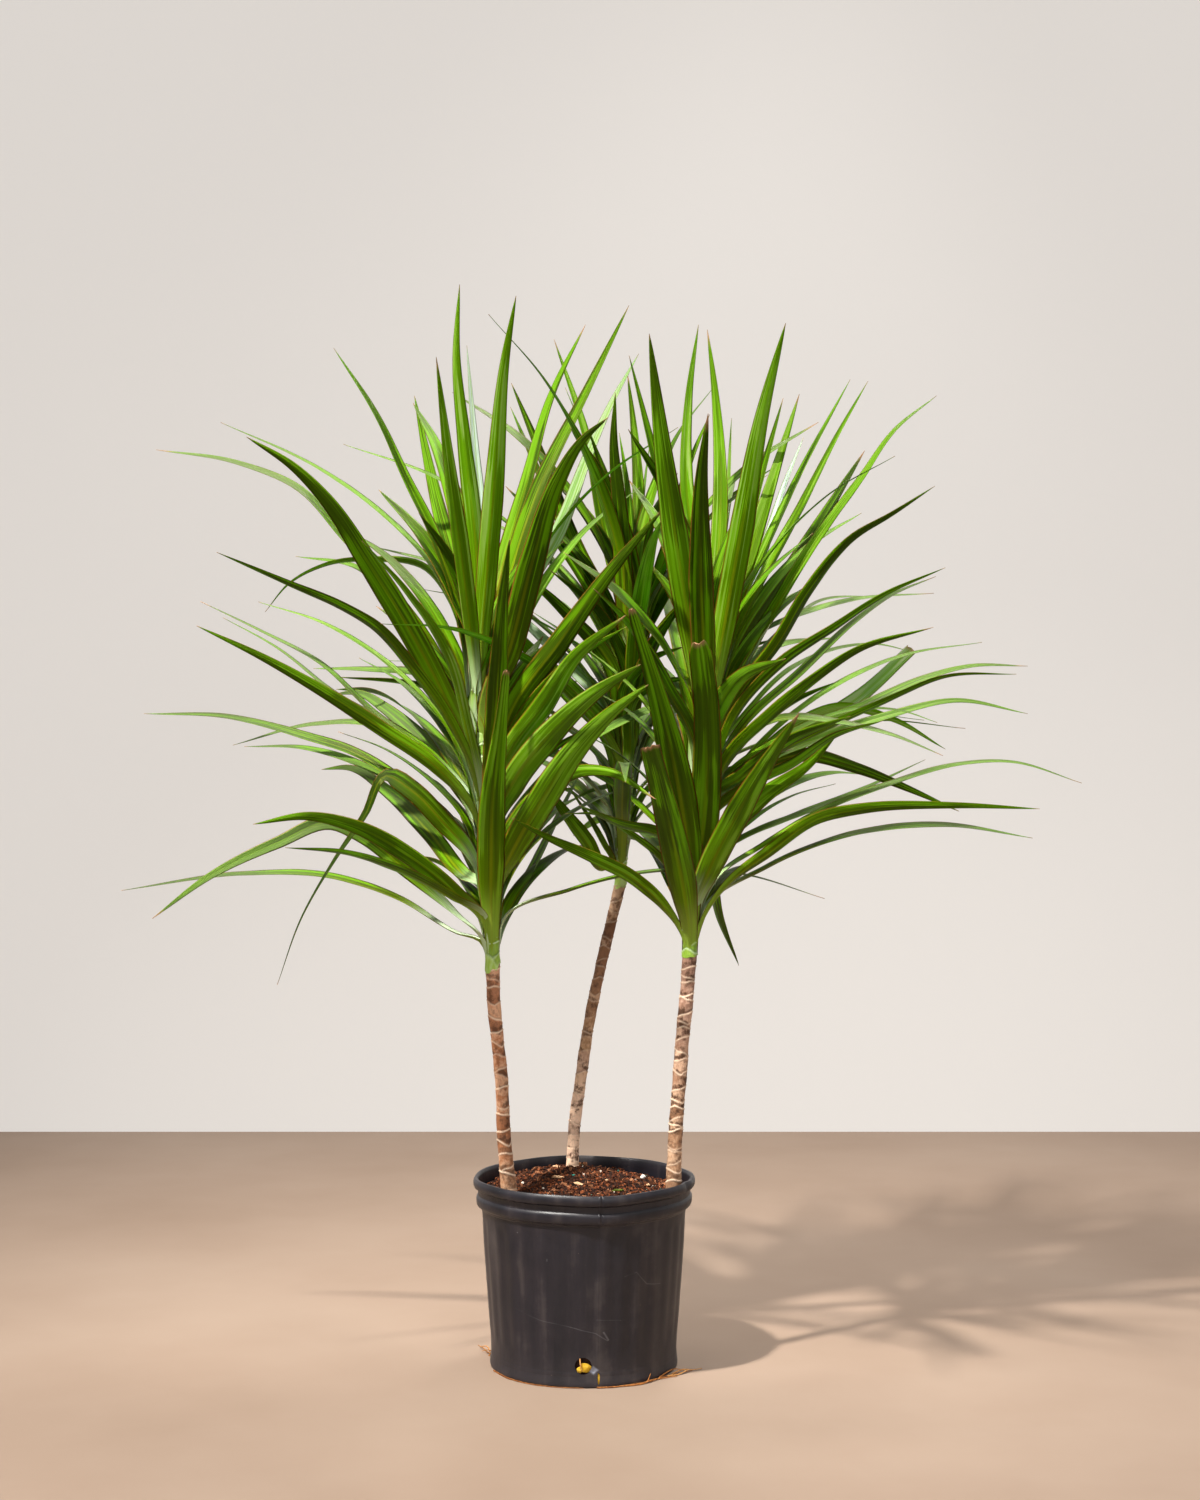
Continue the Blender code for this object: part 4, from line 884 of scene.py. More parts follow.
def bark_finish(name, paleness, tones, dark, patches):
    """Dry bark: tones up the cane, dark patches between some scars, and pale scar lines."""
    material, tree = new_finish("bark_" + name)
    scar, crease, patch, rise, shade = map(tree.reading, ("scar", "crease", "patch", "rise", "shade"))
    place = tree.place()
    grain = tree.cloud(place * (1.0, 1.0, 0.45), 420.0, 4.0, 0.6)
    blotch = tree.cloud(place, 150.0, 4.0, 0.65)
    spots = tree.cloud(place, 80.0, 3.0, 0.7)
    mottle = patch * 0.6 + blotch * 1.3
    darkness = tree.ramp(rise, [(height, (share,) * 3) for height, share in patches])
    colour = tree.coats(
        tree.ramp(rise + (blotch - 0.5) * 0.12 + (patch - 0.5) * 0.12, tones),
        (tree.step(mottle, 1.05, 0.70) * 0.55, BARK_DAMP),
        (tree.step(mottle, 0.90, 1.25) * 0.50, BARK_FLAKE),
        (tree.step(grain, 0.45, 0.75) * 0.42, BARK_GRAIN),
        (tree.step(spots + shade * 0.15, 0.50, 0.68) * darkness, dark),
        (crease * 0.45, BARK_CREASE),
        (scar * (0.70 + grain * 0.5) * paleness, BARK_SCAR))
    tree.end(tree.skin(colour, 0.68 - grain * 0.12, grain + blotch, 0.0006, {"Specular IOR Level": 0.30}))
    return material


def scratch(tree, x, z, start, end, width):
    """Give 1 on a straight scratch between two points, fading to 0 at its sides."""
    length = math.dist(start, end)
    across, up = (end[0] - start[0]) / length, (end[1] - start[1]) / length
    along = (x - start[0]) * across + (z - start[1]) * up
    beside = abs((x - start[0]) * up - (z - start[1]) * across)
    return tree.step(beside, width, 0.0) * (along > 0.0) * (along < length)


def pot_finish():
    """Satin black plastic with upright streaks, dust low down, a few scratches and specks, and a painted
    bluish highlight on the dent beside the front drain hole.
    """
    material, tree = new_finish("pot_black")
    place = tree.place()
    x, y, z = tree.parts(place)
    streak = tree.cloud(place * (1.0, 1.0, 0.06), 38.0, 3.0, 0.6)
    haze = tree.cloud(place, 26.0, 4.0, 0.6)
    speck = tree.cloud(place, 520.0, 1.0)
    dust = tree.step(z, 0.050, 0.002) * haze
    marks = sum(scratch(tree, x, z, *ends, width) * strength for *ends, width, strength in SCRATCHES)
    front = y < 0.0
    # A painted bluish highlight on the front dent beside the drain hole
    painted_glint = tree.step(abs(x - PAINTED_GLINT_PLACE[0]) * 0.8 + abs(z - PAINTED_GLINT_PLACE[1]), 0.0065, 0.0030) * front
    colour = tree.coats(
        tree.ramp(streak * 0.6 + haze * 0.4, POT_TONES),
        (dust * 0.08, POT_DUST),
        (tree.step(speck, 0.79, 0.83) * 0.5, POT_SPECK),
        (marks * front * tree.step(haze, 0.30, 0.60), POT_SCRATCH),
        (painted_glint * 0.8, POT_PAINTED_GLINT))
    gloss = 0.34 + streak * 0.18 + dust * 0.15
    tree.end(tree.skin(colour, gloss, haze + streak, 0.0006, {"Specular IOR Level": 0.42}))
    return material


def mix_finish(name, dark, middle, pale):
    """Crumbly matter of three tones, which a crumb's luck shifts."""
    material, tree = new_finish(name)
    cloud = tree.cloud(tree.place(), 260.0, 4.0, 0.65)
    colour = tree.ramp(cloud * 0.6 + tree.reading("luck") * 0.4, ((0.25, dark), (0.50, middle), (0.80, pale)))
    tree.end(tree.skin(colour, 0.92 - cloud * 0.1, cloud, 0.0008, {"Specular IOR Level": 0.2}))
    return material


def stage_finish(name, tones, scale, roughness, glow=(0.0, 0.0, 0.0), one_sided=False):
    """A plain pale surface with a faint drift of tone."""
    material, tree = new_finish(name)
    drift = tree.cloud(tree.place(), scale, 5.0, 0.55)
    skin = tree.skin(tree.ramp(drift, tones), roughness - drift * 0.1, more={
        "Emission Color": glow, "Emission Strength": 1.0})
    if one_sided:
        back = tree.node("ShaderNodeNewGeometry", output="Backfacing")
        clear = tree.node("ShaderNodeBsdfTransparent")
        skin = tree.node("ShaderNodeMixShader", {}, {0: back, 1: skin, 2: clear})
    tree.end(skin)
    return material


# Tones of the finishes. Where a row has a place before its tone, it is the share at which the tone lies
LEAF_TONES = (
    (0.00, (0.011, 0.030, 0.001)), (0.20, (0.034, 0.080, 0.001)), (0.40, (0.076, 0.190, 0.001)),
    (0.62, (0.150, 0.385, 0.004)), (0.86, (0.265, 0.490, 0.040)), (1.00, (0.400, 0.570, 0.140)))
# Painted silver reflection
LEAF_PAINTED_SILVER = (0.780, 0.900, 0.880)
LEAF_MIDRIB = (0.230, 0.260, 0.004)
# Painted grey sheen
LEAF_PAINTED_SHEEN = (0.290, 0.370, 0.170)
LEAF_BELOW = (0.120, 0.200, 0.004)
# Painted olive shade
LEAF_PAINTED_HEART_SHADE = (0.175, 0.240, 0.001)
# Pale mint leaf base, brightened with painted light and gloss
LEAF_ROOT_AND_PAINTED_LIGHT = (0.740, 0.900, 0.640)
LEAF_ROOT_BELOW = (0.240, 0.360, 0.008)
LEAF_EDGE = (0.230, 0.070, 0.010)
LEAF_DRY = (0.380, 0.210, 0.110)
LEAF_GLOW = (0.200, 0.480, 0.012)
SHOOT_TONES = ((0.25, (0.160, 0.300, 0.012)), (0.50, (0.340, 0.530, 0.060)), (0.80, (0.640, 0.800, 0.440)))
SHOOT_RIM = (0.700, 0.860, 0.560)
SHOOT_CREASE = (0.030, 0.050, 0.008)
BARK_DAMP = (0.200, 0.090, 0.044)
BARK_FLAKE = (0.800, 0.540, 0.360)
BARK_GRAIN = (0.160, 0.070, 0.034)
BARK_CREASE = (0.110, 0.050, 0.026)
BARK_SCAR = (0.900, 0.690, 0.510)
POT_TONES = ((0.38, (0.006, 0.006, 0.010)), (0.52, (0.013, 0.011, 0.016)), (0.66, (0.042, 0.035, 0.036)))
POT_DUST = (0.140, 0.095, 0.065)
POT_SPECK = (0.200, 0.150, 0.110)
POT_SCRATCH = (0.150, 0.145, 0.155)
# Painted bluish highlight
POT_PAINTED_GLINT = (0.220, 0.240, 0.300)

GEOMETRY_KINDS = {"number": "NodeSocketFloat", "whole": "NodeSocketInt", "finish": "NodeSocketMaterial"}


class Growth(Tree):
    """A geometry tree with named inputs, which ends in one mesh with its finish."""

    def __init__(self, name, inputs):
        group = bpy.data.node_groups.new(name, "GeometryNodeTree")
        super().__init__(group)
        group.interface.new_socket(name="Geometry", in_out="INPUT", socket_type="NodeSocketGeometry")
        for title, kind in inputs.items():
            group.interface.new_socket(name=title, in_out="INPUT", socket_type=GEOMETRY_KINDS[kind])
        group.interface.new_socket(name="Geometry", in_out="OUTPUT", socket_type="NodeSocketGeometry")
        self.entry = group.nodes.new("NodeGroupInput")

    def given(self, title):
        """Give one of the tree's inputs."""
        return Wire(self, self.entry.outputs[title])

    def reading(self, name, kind="FLOAT"):
        """Read a number or vector that the geometry carries under a name."""
        return self.node("GeometryNodeInputNamedAttribute", {"data_type": kind}, {"Name": name}, "Attribute")

    def store(self, geometry, name, value, kind="FLOAT"):
        """Let the geometry's points carry a value under a name."""
        sockets = {"Geometry": geometry, "Name": name, "Value": value}
        return self.node("GeometryNodeStoreNamedAttribute", {"data_type": kind}, sockets)

    def close(self, geometry):
        """Make the geometry real, give it its finish and end the tree."""
        real = self.node("GeometryNodeRealizeInstances", {}, {"Geometry": geometry})
        done = self.node("GeometryNodeSetMaterial", {}, {"Geometry": real, "Material": self.given("Finish")})
        self.node("NodeGroupOutput", {}, {"Geometry": done})
        return self.tree


def blade_growth():
    """Give each middle line of a leaf its blade: a folded, rippled strap that curls into a sheath."""
    tree = Growth("blade_growth", {
        "Thickness": "number", "Fold": "number", "Ripple": "number", "Finish": "finish"})
    here = tree.node("GeometryNodeInputPosition")
    lines = tree.store(tree.given("Geometry"), "centre", here, "FLOAT_VECTOR")
    curve = tree.node("GeometryNodeMeshToCurve", {}, {"Mesh": lines})
    loop = tree.node("GeometryNodeCurvePrimitiveCircle", {}, {"Resolution": SECTION_POINTS}, "Curve")
    number = tree.node("GeometryNodeInputIndex")
    loop = tree.store(loop, "across", abs(number - SECTION_POINTS / 2) * (4 / SECTION_POINTS) - 1)
    loop = tree.store(loop, "face", tree.work("SINE", number * (2 * math.pi / SECTION_POINTS)))
    sweep = {"Curve": curve, "Profile Curve": loop, "Fill Caps": True}
    blade = tree.node("GeometryNodeCurveToMesh", {}, sweep)
    centre, side, up, along = (
        tree.reading(name, "FLOAT_VECTOR") for name in ("centre", "side", "up", "along"))
    across, face, half, luck = map(tree.reading, ("across", "face", "half", "luck"))
    span = abs(across)
    wave = tree.cloud(tree.vector(across * 0.8, tree.reading("length") * 22, luck * 60), 1.0, 1.0)
    lift = tree.given("Fold") * tree.reading("trough") * span * half + tree.reading("curl") * span * span
    lift = lift + (wave - 0.5) * span * span * tree.given("Ripple") * tree.step(half, 0.002, 0.008)
    lift = lift + face * tree.given("Thickness") * 0.5
    tear = tree.cloud(tree.vector(across * 2.4, luck * 90, 0.0), 1.0, 2.0) - 0.5
    place = centre + side * (across * half) + up * lift + along * (tear * tree.reading("rag"))
    moved = tree.node("GeometryNodeSetPosition", {}, {"Geometry": blade, "Position": place})
    return tree.close(tree.node("GeometryNodeSetShadeSmooth", {}, {"Geometry": moved}))


def strand_growth():
    """Give each line a round strand whose thickness the line carries."""
    tree = Growth("strand_growth", {"Finish": "finish"})
    curve = tree.node("GeometryNodeMeshToCurve", {}, {"Mesh": tree.given("Geometry")})
    loop = tree.node("GeometryNodeCurvePrimitiveCircle", {}, {"Resolution": 7, "Radius": 1.0}, "Curve")
    sweep = {"Curve": curve, "Profile Curve": loop, "Scale": tree.reading("thick"), "Fill Caps": True}
    mesh = tree.node("GeometryNodeCurveToMesh", {}, sweep)
    return tree.close(tree.node("GeometryNodeSetShadeSmooth", {}, {"Geometry": mesh}))


def crumb_growth():
    """Strew small lumps over the upper faces of a surface, inside a radius."""
    tree = Growth("crumb_growth", {
        "Per Area": "number", "Size": "number", "Flatness": "number", "Reach": "number", "Seed": "whole",
        "Finish": "finish"})
    ground = tree.given("Geometry")
    spot = tree.node("GeometryNodeInputPosition")
    x, y, z = tree.parts(spot)
    near = (x * x + y * y) ** 0.5 < tree.given("Reach")
    upward = tree.parts(tree.node("GeometryNodeInputNormal"))[2] > CRUMB_SLOPE
    chosen = near * upward * (z > CRUMB_GROUND)
    spread = {"Mesh": ground, "Selection": chosen, "Density": tree.given("Per Area")}
    points = tree.node("GeometryNodeDistributePointsOnFaces", {}, {**spread, "Seed": tree.given("Seed")})
    chance = {"data_type": "FLOAT_VECTOR"}
    luck = tree.node("FunctionNodeRandomValue", {"data_type": "FLOAT"}, {"Seed": 3}, 1)
    points = tree.store(points, "luck", luck)
    crumb = tree.node("GeometryNodeMeshIcoSphere", {}, {"Radius": 0.5, "Subdivisions": 1})
    rough = tree.node("ShaderNodeTexNoise", {}, {"Vector": spot, "Scale": 2.2, "Detail": 1.0}, 1)
    crumb = tree.node("GeometryNodeSetPosition", {}, {"Geometry": crumb, "Offset": (rough - 0.5) * 0.9})
    turn = tree.node("FunctionNodeRandomValue", chance, {0: (0.0,) * 3, 1: (6.283,) * 3, "Seed": 1})
    size = tree.node("FunctionNodeRandomValue", chance, {0: (0.35,) * 3, 1: (1.25,) * 3, "Seed": 2})
    size = size * tree.vector(1.0, 1.0, tree.given("Flatness")) * tree.given("Size")
    strewn = {"Points": points, "Instance": crumb, "Rotation": turn, "Scale": size}
    return tree.close(tree.node("GeometryNodeInstanceOnPoints", {}, strewn))


def new_object(name, corners, faces=(), edges=()):
    """Make an object in the scene from corners and faces or edges."""
    mesh = bpy.data.meshes.new(name)
    mesh.from_pydata([tuple(map(float, corner)) for corner in corners], list(edges), list(faces))
    thing = bpy.data.objects.new(name, mesh)
    bpy.context.scene.collection.objects.link(thing)
    return thing


def carry(thing, **values):
    """Let a thing's corners carry numbers or vectors under names."""
    for name, rows in values.items():
        rows = np.asarray(rows, dtype=np.float32)
        wide = rows.ndim == 2
        layer = thing.data.attributes.new(name, "FLOAT_VECTOR" if wide else "FLOAT", "POINT")
        layer.data.foreach_set("vector" if wide else "value", rows.ravel())


def settle(thing):
    """Keep what a thing's modifiers make of it as its plain mesh."""
    evaluated = thing.evaluated_get(bpy.context.evaluated_depsgraph_get())
    mesh = bpy.data.meshes.new_from_object(evaluated)
    thing.modifiers.clear()
    thing.data = mesh


def grow(thing, group, **values):
    """Run a thing through a geometry tree with these inputs."""
    modifier = thing.modifiers.new("grow", "NODES")
    modifier.node_group = group
    for item in group.interface.items_tree:
        title = item.name.lower().replace(" ", "_")
        if item.in_out == "INPUT" and title in values:
            modifier[item.identifier] = values[title]
    settle(thing)


def face_outwards(thing):
    """Turn every closed surface of a thing to face outwards."""
    mesh = bmesh.new()
    mesh.from_mesh(thing.data)
    bmesh.ops.recalc_face_normals(mesh, faces=mesh.faces)
    mesh.to_mesh(thing.data)
    mesh.free()


def dress(thing, slot, *nodes, finish=None, sharp=None):
    """Give a piece its finish and edges, and fix it to the plant in place of its solids."""
    if finish is not None:
        thing.data.materials.clear()
        thing.data.materials.append(finish)
    if sharp is not None:
        thing.data.shade_smooth()
        thing.data.set_sharp_from_angle(angle=math.radians(sharp))
    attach(thing, "root")
    if nodes:
        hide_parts(*nodes)


def clasping_route(blade):
    """Let a leaf start as a sheath against the stem in place of its plain root."""
    stem = HEADS[blade.head].stem
    sheath = []
    for rise, reach in SHEATH:
        height = max(blade.root + rise, SHEATH_FOOT + SHEATH_CROWDING * (rise - SHEATH[0][0]))
        sheath.append(stem_point(stem, height) + blade.outward * stem_radius(stem, height) * reach)
    return sheath + list(blade.route[2:])


def past_kink(blade, share):
    """Give 1 beyond the kink of a blade that hangs broken, and 0 elsewhere."""
    return ease((share - KINK) / KINK_LENGTH) * (blade.twist > KINK_TWIST)


def fine_widths(blade, share):
    """Give half the fine blade's width: a sheath, a neck, the full blade, and its point or cut end."""
    pointed = blade.end == "point"
    swell = 0.50 + 0.50 * ease(share / FREE_FROM)
    if pointed:
        taper = np.minimum(1.0, ((1 - share) / TAPER_SHARE) ** TAPER_POWER)
    else:
        narrowing, bluntness = CUT_ENDS[blade.end]
        taper = 1 - narrowing * ease((share - 0.40) / 0.60)
        taper = taper * np.minimum(1.0, (1.02 - share) / bluntness) ** 0.5
    clasp = SHEATH_WRAP * stem_radius(HEADS[blade.head].stem, blade.root)
    sheath = clasp * (1 - ease(share / SHEATH_SHARE)) * (0.3 + 0.7 * ease(share / SHEATH_POINT))
    full = blade.width / 2 * (FULLER if pointed else FULLER_CUT) * (1 - KINK_CREASE * past_kink(blade, share))
    sideways = abs(blade.route[-1][0] - blade.route[0][0]) / math.dist(blade.route[0], blade.route[-1])
    full = full * (1 - SLIMMER * ease((sideways - 0.5) / 0.3))
    return np.maximum(np.maximum(full * swell * taper, sheath), FINE_TIP)


def blade_rows(blade, luck, share):
    """Give a fine blade's middle line, and what it carries at each station."""
    middle, side, up = leaf_frame(clasping_route(blade), blade.outward, STATIONS, blade.turn, blade.twist)
    along = unit(np.gradient(middle, axis=0))
    steps = np.linalg.norm(np.diff(middle, axis=0), axis=1)
    cut = blade.end != "point"
    withered = WITHERED_CUT if cut else WITHERED_TIP[0] + WITHERED_TIP[1] * luck**3
    clasp = SHEATH_CURL * stem_radius(HEADS[blade.head].stem, blade.root)
    # How level the blade runs, which lays a painted grey sheen in its finish
    level = ease((PAINTED_SHEEN_SLOPE - np.abs(along[:, 2])) / 0.40) * ease((share - 0.25) / 0.50)
    return middle, {
        "side": side,
        "up": up,
        "along": along,
        "half": fine_widths(blade, share),
        "trough": 1.6 - ease(share),
        "curl": clasp * (1 - ease(share / SHEATH_SHARE)),
        "reach": share,
        "length": np.concatenate(([0.0], np.cumsum(steps))),
        "tone": blade.tone - past_kink(blade, share),
        "luck": np.full(STATIONS, luck),
        "rag": RAGGEDNESS * ease((share - 0.94) / 0.06) * cut,
        "dry": ease((share - 1 + withered) / withered * 1.5),
        "level": level * (not cut),
    }


def make_foliage(blades, finish):
    """Sweep the blades of each head, one piece a head."""
    growth = blade_growth()
    share = np.linspace(0.0, 1.0, STATIONS)
    for name in HEADS:
        own = [blade for blade in blades if blade.head == name]
        middles, rows = zip(*(blade_rows(blade, (LUCK_START + number * LUCK_STEP) % 1.0, share)
                              for number, blade in enumerate(own)))
        count = len(own) * STATIONS
        edges = [(first, first + 1) for first in range(count - 1) if (first + 1) % STATIONS]
        foliage = new_object("foliage_" + name, np.concatenate(middles), edges=edges)
        carry(foliage, **{key: np.concatenate([row[key] for row in rows]) for key in rows[0]})
        grow(foliage, growth, thickness=FINE_THICKNESS, fold=FINE_FOLD, ripple=RIPPLE, finish=finish)
        for used in ("centre", "side", "up", "along", "half", "trough", "curl", "length", "rag"):
            foliage.data.attributes.remove(foliage.data.attributes[used])
        face_outwards(foliage)
        dress(foliage, "leaf", "leaves_" + name)


def band(gap, drop, width):
    """Give 1 at a drop above a scar, fading out over a width."""
    return np.exp(-(((gap - drop) / width) ** 2))


def ringed_stick(name, line, radii, pitch, tilt, relief, seed, hem=0.0):
    """Make a stick ringed by slanting scars, each cell with its own luck; its foot may hang in a torn hem."""
    draw = random.Random(seed)
    rise = np.arange(line[0][2], line[-1][2], BARK_STEP)
    x, y = (np.interp(rise, line[:, 2], line[:, axis])[:, None] for axis in range(2))
    plain = np.interp(rise, line[:, 2], radii)[:, None]
    height, angle = np.meshgrid(rise, np.arange(BARK_SIDES) * 2 * math.pi / BARK_SIDES, indexing="ij")
    scar, crease, shade = np.zeros((3, *height.shape))
    cell = np.zeros(height.shape, dtype=int)
    count = int((rise[-1] - rise[0]) / pitch) + 3
    for ring in range(count):
        turn = 2 * math.pi * ring * GOLDEN_TURN + draw.uniform(*SCAR_PLAY["turn"])
        start = rise[0] + pitch * (ring - 0.5 + draw.uniform(*SCAR_PLAY["rise"]))
        wander = SCAR_WANDER * np.sin(3 * angle + 7 * ring)
        away = np.abs((angle - turn) % (2 * math.pi) - math.pi) / math.pi
        gap = height - start - draw.uniform(*SCAR_PLAY["tilt"]) * tilt * (2 * away**0.8 - 1) - wander
        strength = FAINTEST_SCAR + (1 - FAINTEST_SCAR) * draw.random()
        scar = np.maximum(scar, strength * band(gap, 0, SCAR_WIDTH))
        crease = np.maximum(crease, strength * band(gap, *CREASE))
        shade = np.maximum(shade, draw.random() * band(gap, *SHADE))
        cell += gap > 0
    lucks = np.array([draw.random() for _ in range(count + 1)])
    lumps = 0.00025 * np.sin(2 * angle + height * 90) + 0.00020 * np.sin(3 * angle - height * 210)
    radius = plain + relief * (scar - 0.6 * crease) + lumps
    foot = 1 - ease((height - rise[0]) / HEM_RISE)
    flap = np.clip(0.30 - 0.70 * np.cos(angle - HEM_TURN) + 0.25 * np.sin(5 * angle), 0, 1)
    radius = radius + HEM_THICKNESS * (hem > 0) * foot
    rings = (x + radius * np.cos(angle), y + radius * np.sin(angle), height - hem * flap * foot)
    corners = np.stack(rings, axis=-1).reshape(-1, 3)
    stick = new_object(name, corners, tube_faces(len(corners), BARK_SIDES))
    share = (height - rise[0]) / (rise[-1] - rise[0])
    carry(stick, scar=scar.ravel(), crease=crease.ravel(), shade=shade.ravel(), patch=lucks[cell].ravel(),
          rise=share.ravel())
    return stick


def make_canes():
    """Stand the three canes, each with its own bark."""
    for seed, (name, head) in enumerate(HEADS.items()):
        line, plain = cane_line(head.cane)
        pitch, *tones = BARKS[name]
        cane = ringed_stick("bark_" + name, line, plain, pitch, SCAR_TILT, SCAR_HEIGHT, 11 + seed)
        dress(cane, "cane", "cane_" + name, finish=bark_finish(name, *tones), sharp=75)


def make_shoots():
    """Raise the green stems out of the canes, ringed by the bases of leaves."""
    finish = shoot_finish()
    for seed, (name, head) in enumerate(HEADS.items()):
        route = trunk_route(head.stem, 40)
        heights = trunk_route(head.stem, len(head.stem.radii))[:, 2]
        radii = np.interp(route[:, 2], heights, head.stem.radii) - SHOOT_INSET
        shoot = ringed_stick("shoot_" + name, route, radii, *SHOOT_RINGS, 31 + seed, HEMS[name])
        dress(shoot, "leaf", "leaves_" + name, finish=finish, sharp=75)


def turned(name, outline, angles, shift=None):
    """Turn an outline, which starts and ends on the axis, through the angles; shift moves its corners."""
    radius, height = np.array(outline[1:-1]).T
    turn = np.asarray(angles)
    radii = np.repeat(radius[:, None], len(turn), axis=1)
    heights = np.repeat(height[:, None], len(turn), axis=1)
    if shift is not None:
        radii, heights = shift(radii, heights, turn[None, :])
    rings = np.stack((radii * np.cos(turn), radii * np.sin(turn), heights), axis=-1).reshape(-1, 3)
    corners = np.vstack((rings, (0, 0, outline[0][1]), (0, 0, outline[-1][1])))
    sides, last, bottom, top = len(turn), len(rings) - len(turn), len(rings), len(rings) + 1
    faces = []
    for step in range(sides):
        ahead = (step + 1) % sides
        faces.append((bottom, ahead, step))
        faces.append((top, last + step, last + ahead))
        for ring in range(0, last, sides):
            faces.append((ring + step, ring + ahead, ring + ahead + sides, ring + step + sides))
    thing = new_object(name, corners, faces)
    face_outwards(thing)
    return thing


def waves(turn, rows):
    """Add up waves round the pot, each a size, a number and a start."""
    return sum(size * np.cos(number * turn + start) for size, number, start in rows)


def turn_between(first, second):
    """Give the turn from the first angle to the second, to either side."""
    return (second - first + math.pi) % (2 * math.pi) - math.pi


def pot_shift(radii, heights, turn):
    """Press soft flutes, a parting line and a dented wavy rim into the pot."""
    outer = radii > 0.1 + 0.1 * heights
    wall = ease((heights - 0.030) / 0.020) * ease((0.188 - heights) / 0.015)
    radii = radii + FLUTE_DEPTH * wall * np.cos(FLUTES * turn)
    rim = ease((heights - 0.190) / 0.010)
    radii = radii + rim * waves(turn, RIM_SWAY)
    heights = heights + rim * waves(turn, RIM_LIFT)
    for line in PARTING_TURNS:
        gap = turn_between(line, turn) * RIM_RADIUS
        radii = radii + outer * (0.0002 + 0.0003 * rim) * band(gap, 0, 0.0009)
        radii = radii - outer * rim * 0.0007 * band(gap, 0.0025, 0.0012)
    for angle, height, depth, width in DENTS:
        away = turn_between(math.radians(angle), turn) * WALL_RADIUS
        radii = radii - depth * np.exp(-(away**2 + (heights - height) ** 2) / width**2)
    return radii, heights


def pot_angles():
    """Give even angles round the pot, closer together at its parting lines."""
    angles = set(np.round(np.linspace(0, 2 * math.pi, POT_SIDES, endpoint=False), 6))
    for line in PARTING_TURNS:
        angles |= {round((line + offset) % (2 * math.pi), 6) for offset in PARTING_OFFSETS}
    return sorted(angles)


def level_prism(section, facing, height):
    """Give a prism that lies level through the pot's wall, from its section across and up."""
    outward = np.array((math.cos(facing), math.sin(facing), 0.0))
    across = np.array((-outward[1], outward[0], 0.0))
    corners = [outward * reach + across * x + (0, 0, height + y) for reach in CUT_REACH for x, y in section]
    return corners, tube_faces(len(corners), len(section))


def make_pot():
    """Turn the pot, and cut its drain holes and the slit beside the front one."""
    smooth = smooth_route(np.column_stack((POT_OUTLINE, np.zeros(len(POT_OUTLINE)))), POT_ROWS)[:, :2]
    pot = turned("pot_shell", [(0, 0), *map(tuple, smooth), (0, POT_FLOOR)], pot_angles(), pot_shift)
    cutters = bpy.data.collections.new("cutters")
    bpy.context.scene.collection.children.link(cutters)
    turns = np.linspace(0, 2 * math.pi, 40, endpoint=False)
    hole = np.column_stack((np.cos(turns), np.sin(turns))) * DRAIN_DIAMETER / 2
    cuts = [level_prism(hole, 2 * math.pi * (number / DRAIN_COUNT - 0.25), DRAIN_HEIGHT)
            for number in range(DRAIN_COUNT)]
    cuts.append(level_prism(SLIT_SECTION, SLIT_TURN, 0.0))
    for number, (corners, faces) in enumerate(cuts):
        cutter = new_object("cutter_%d" % number, corners, faces)
        bpy.context.scene.collection.objects.unlink(cutter)
        cutters.objects.link(cutter)
    cut = pot.modifiers.new("cut", "BOOLEAN")
    cut.operation = "DIFFERENCE"
    cut.solver = "EXACT"
    cut.operand_type = "COLLECTION"
    cut.collection = cutters
    settle(pot)
    for cutter in list(cutters.objects):
        bpy.data.objects.remove(cutter)
    bpy.data.collections.remove(cutters)
    dress(pot, "pot", "pot", finish=pot_finish(), sharp=35)


def lump(place, size, turn, seed):
    """Give the corners and faces of one rough lump."""
    mesh = bmesh.new()
    bmesh.ops.create_icosphere(mesh, subdivisions=2, radius=0.5)
    cos, sin = math.cos(math.radians(turn)), math.sin(math.radians(turn))
    corners = []
    for corner in mesh.verts:
        rough = noise.noise_vector(corner.co * 2.5 + Vector((seed, 0, 0))) * 0.22
        x, y, z = (corner.co + rough) * Vector(size)
        corners.append((place[0] + x * cos - y * sin, place[1] + x * sin + y * cos, place[2] + z))
    faces = [tuple(corner.index for corner in face.verts) for face in mesh.faces]
    mesh.free()
    return corners, faces


def make_bits():
    """Lay single chips, a white pebble and moss on the mix, and ochre matter behind the front holes."""
    noise.seed_set(LUMP_SEED)
    for piece, tones, bits in BITS:
        corners, faces = [], []
        for seed, ((x, y, height), size, turn) in enumerate(bits):
            height = soil_height(x, y) + BIT_RISE if height is None else height
            own, own_faces = lump((x, y, height), size, turn, seed)
            faces += [tuple(index + len(corners) for index in face) for face in own_faces]
            corners += own
        thing = new_object(piece, corners, faces)
        carry(thing, luck=np.full(len(corners), 0.5))
        dress(thing, "soil", finish=mix_finish(piece, *tones), sharp=50)


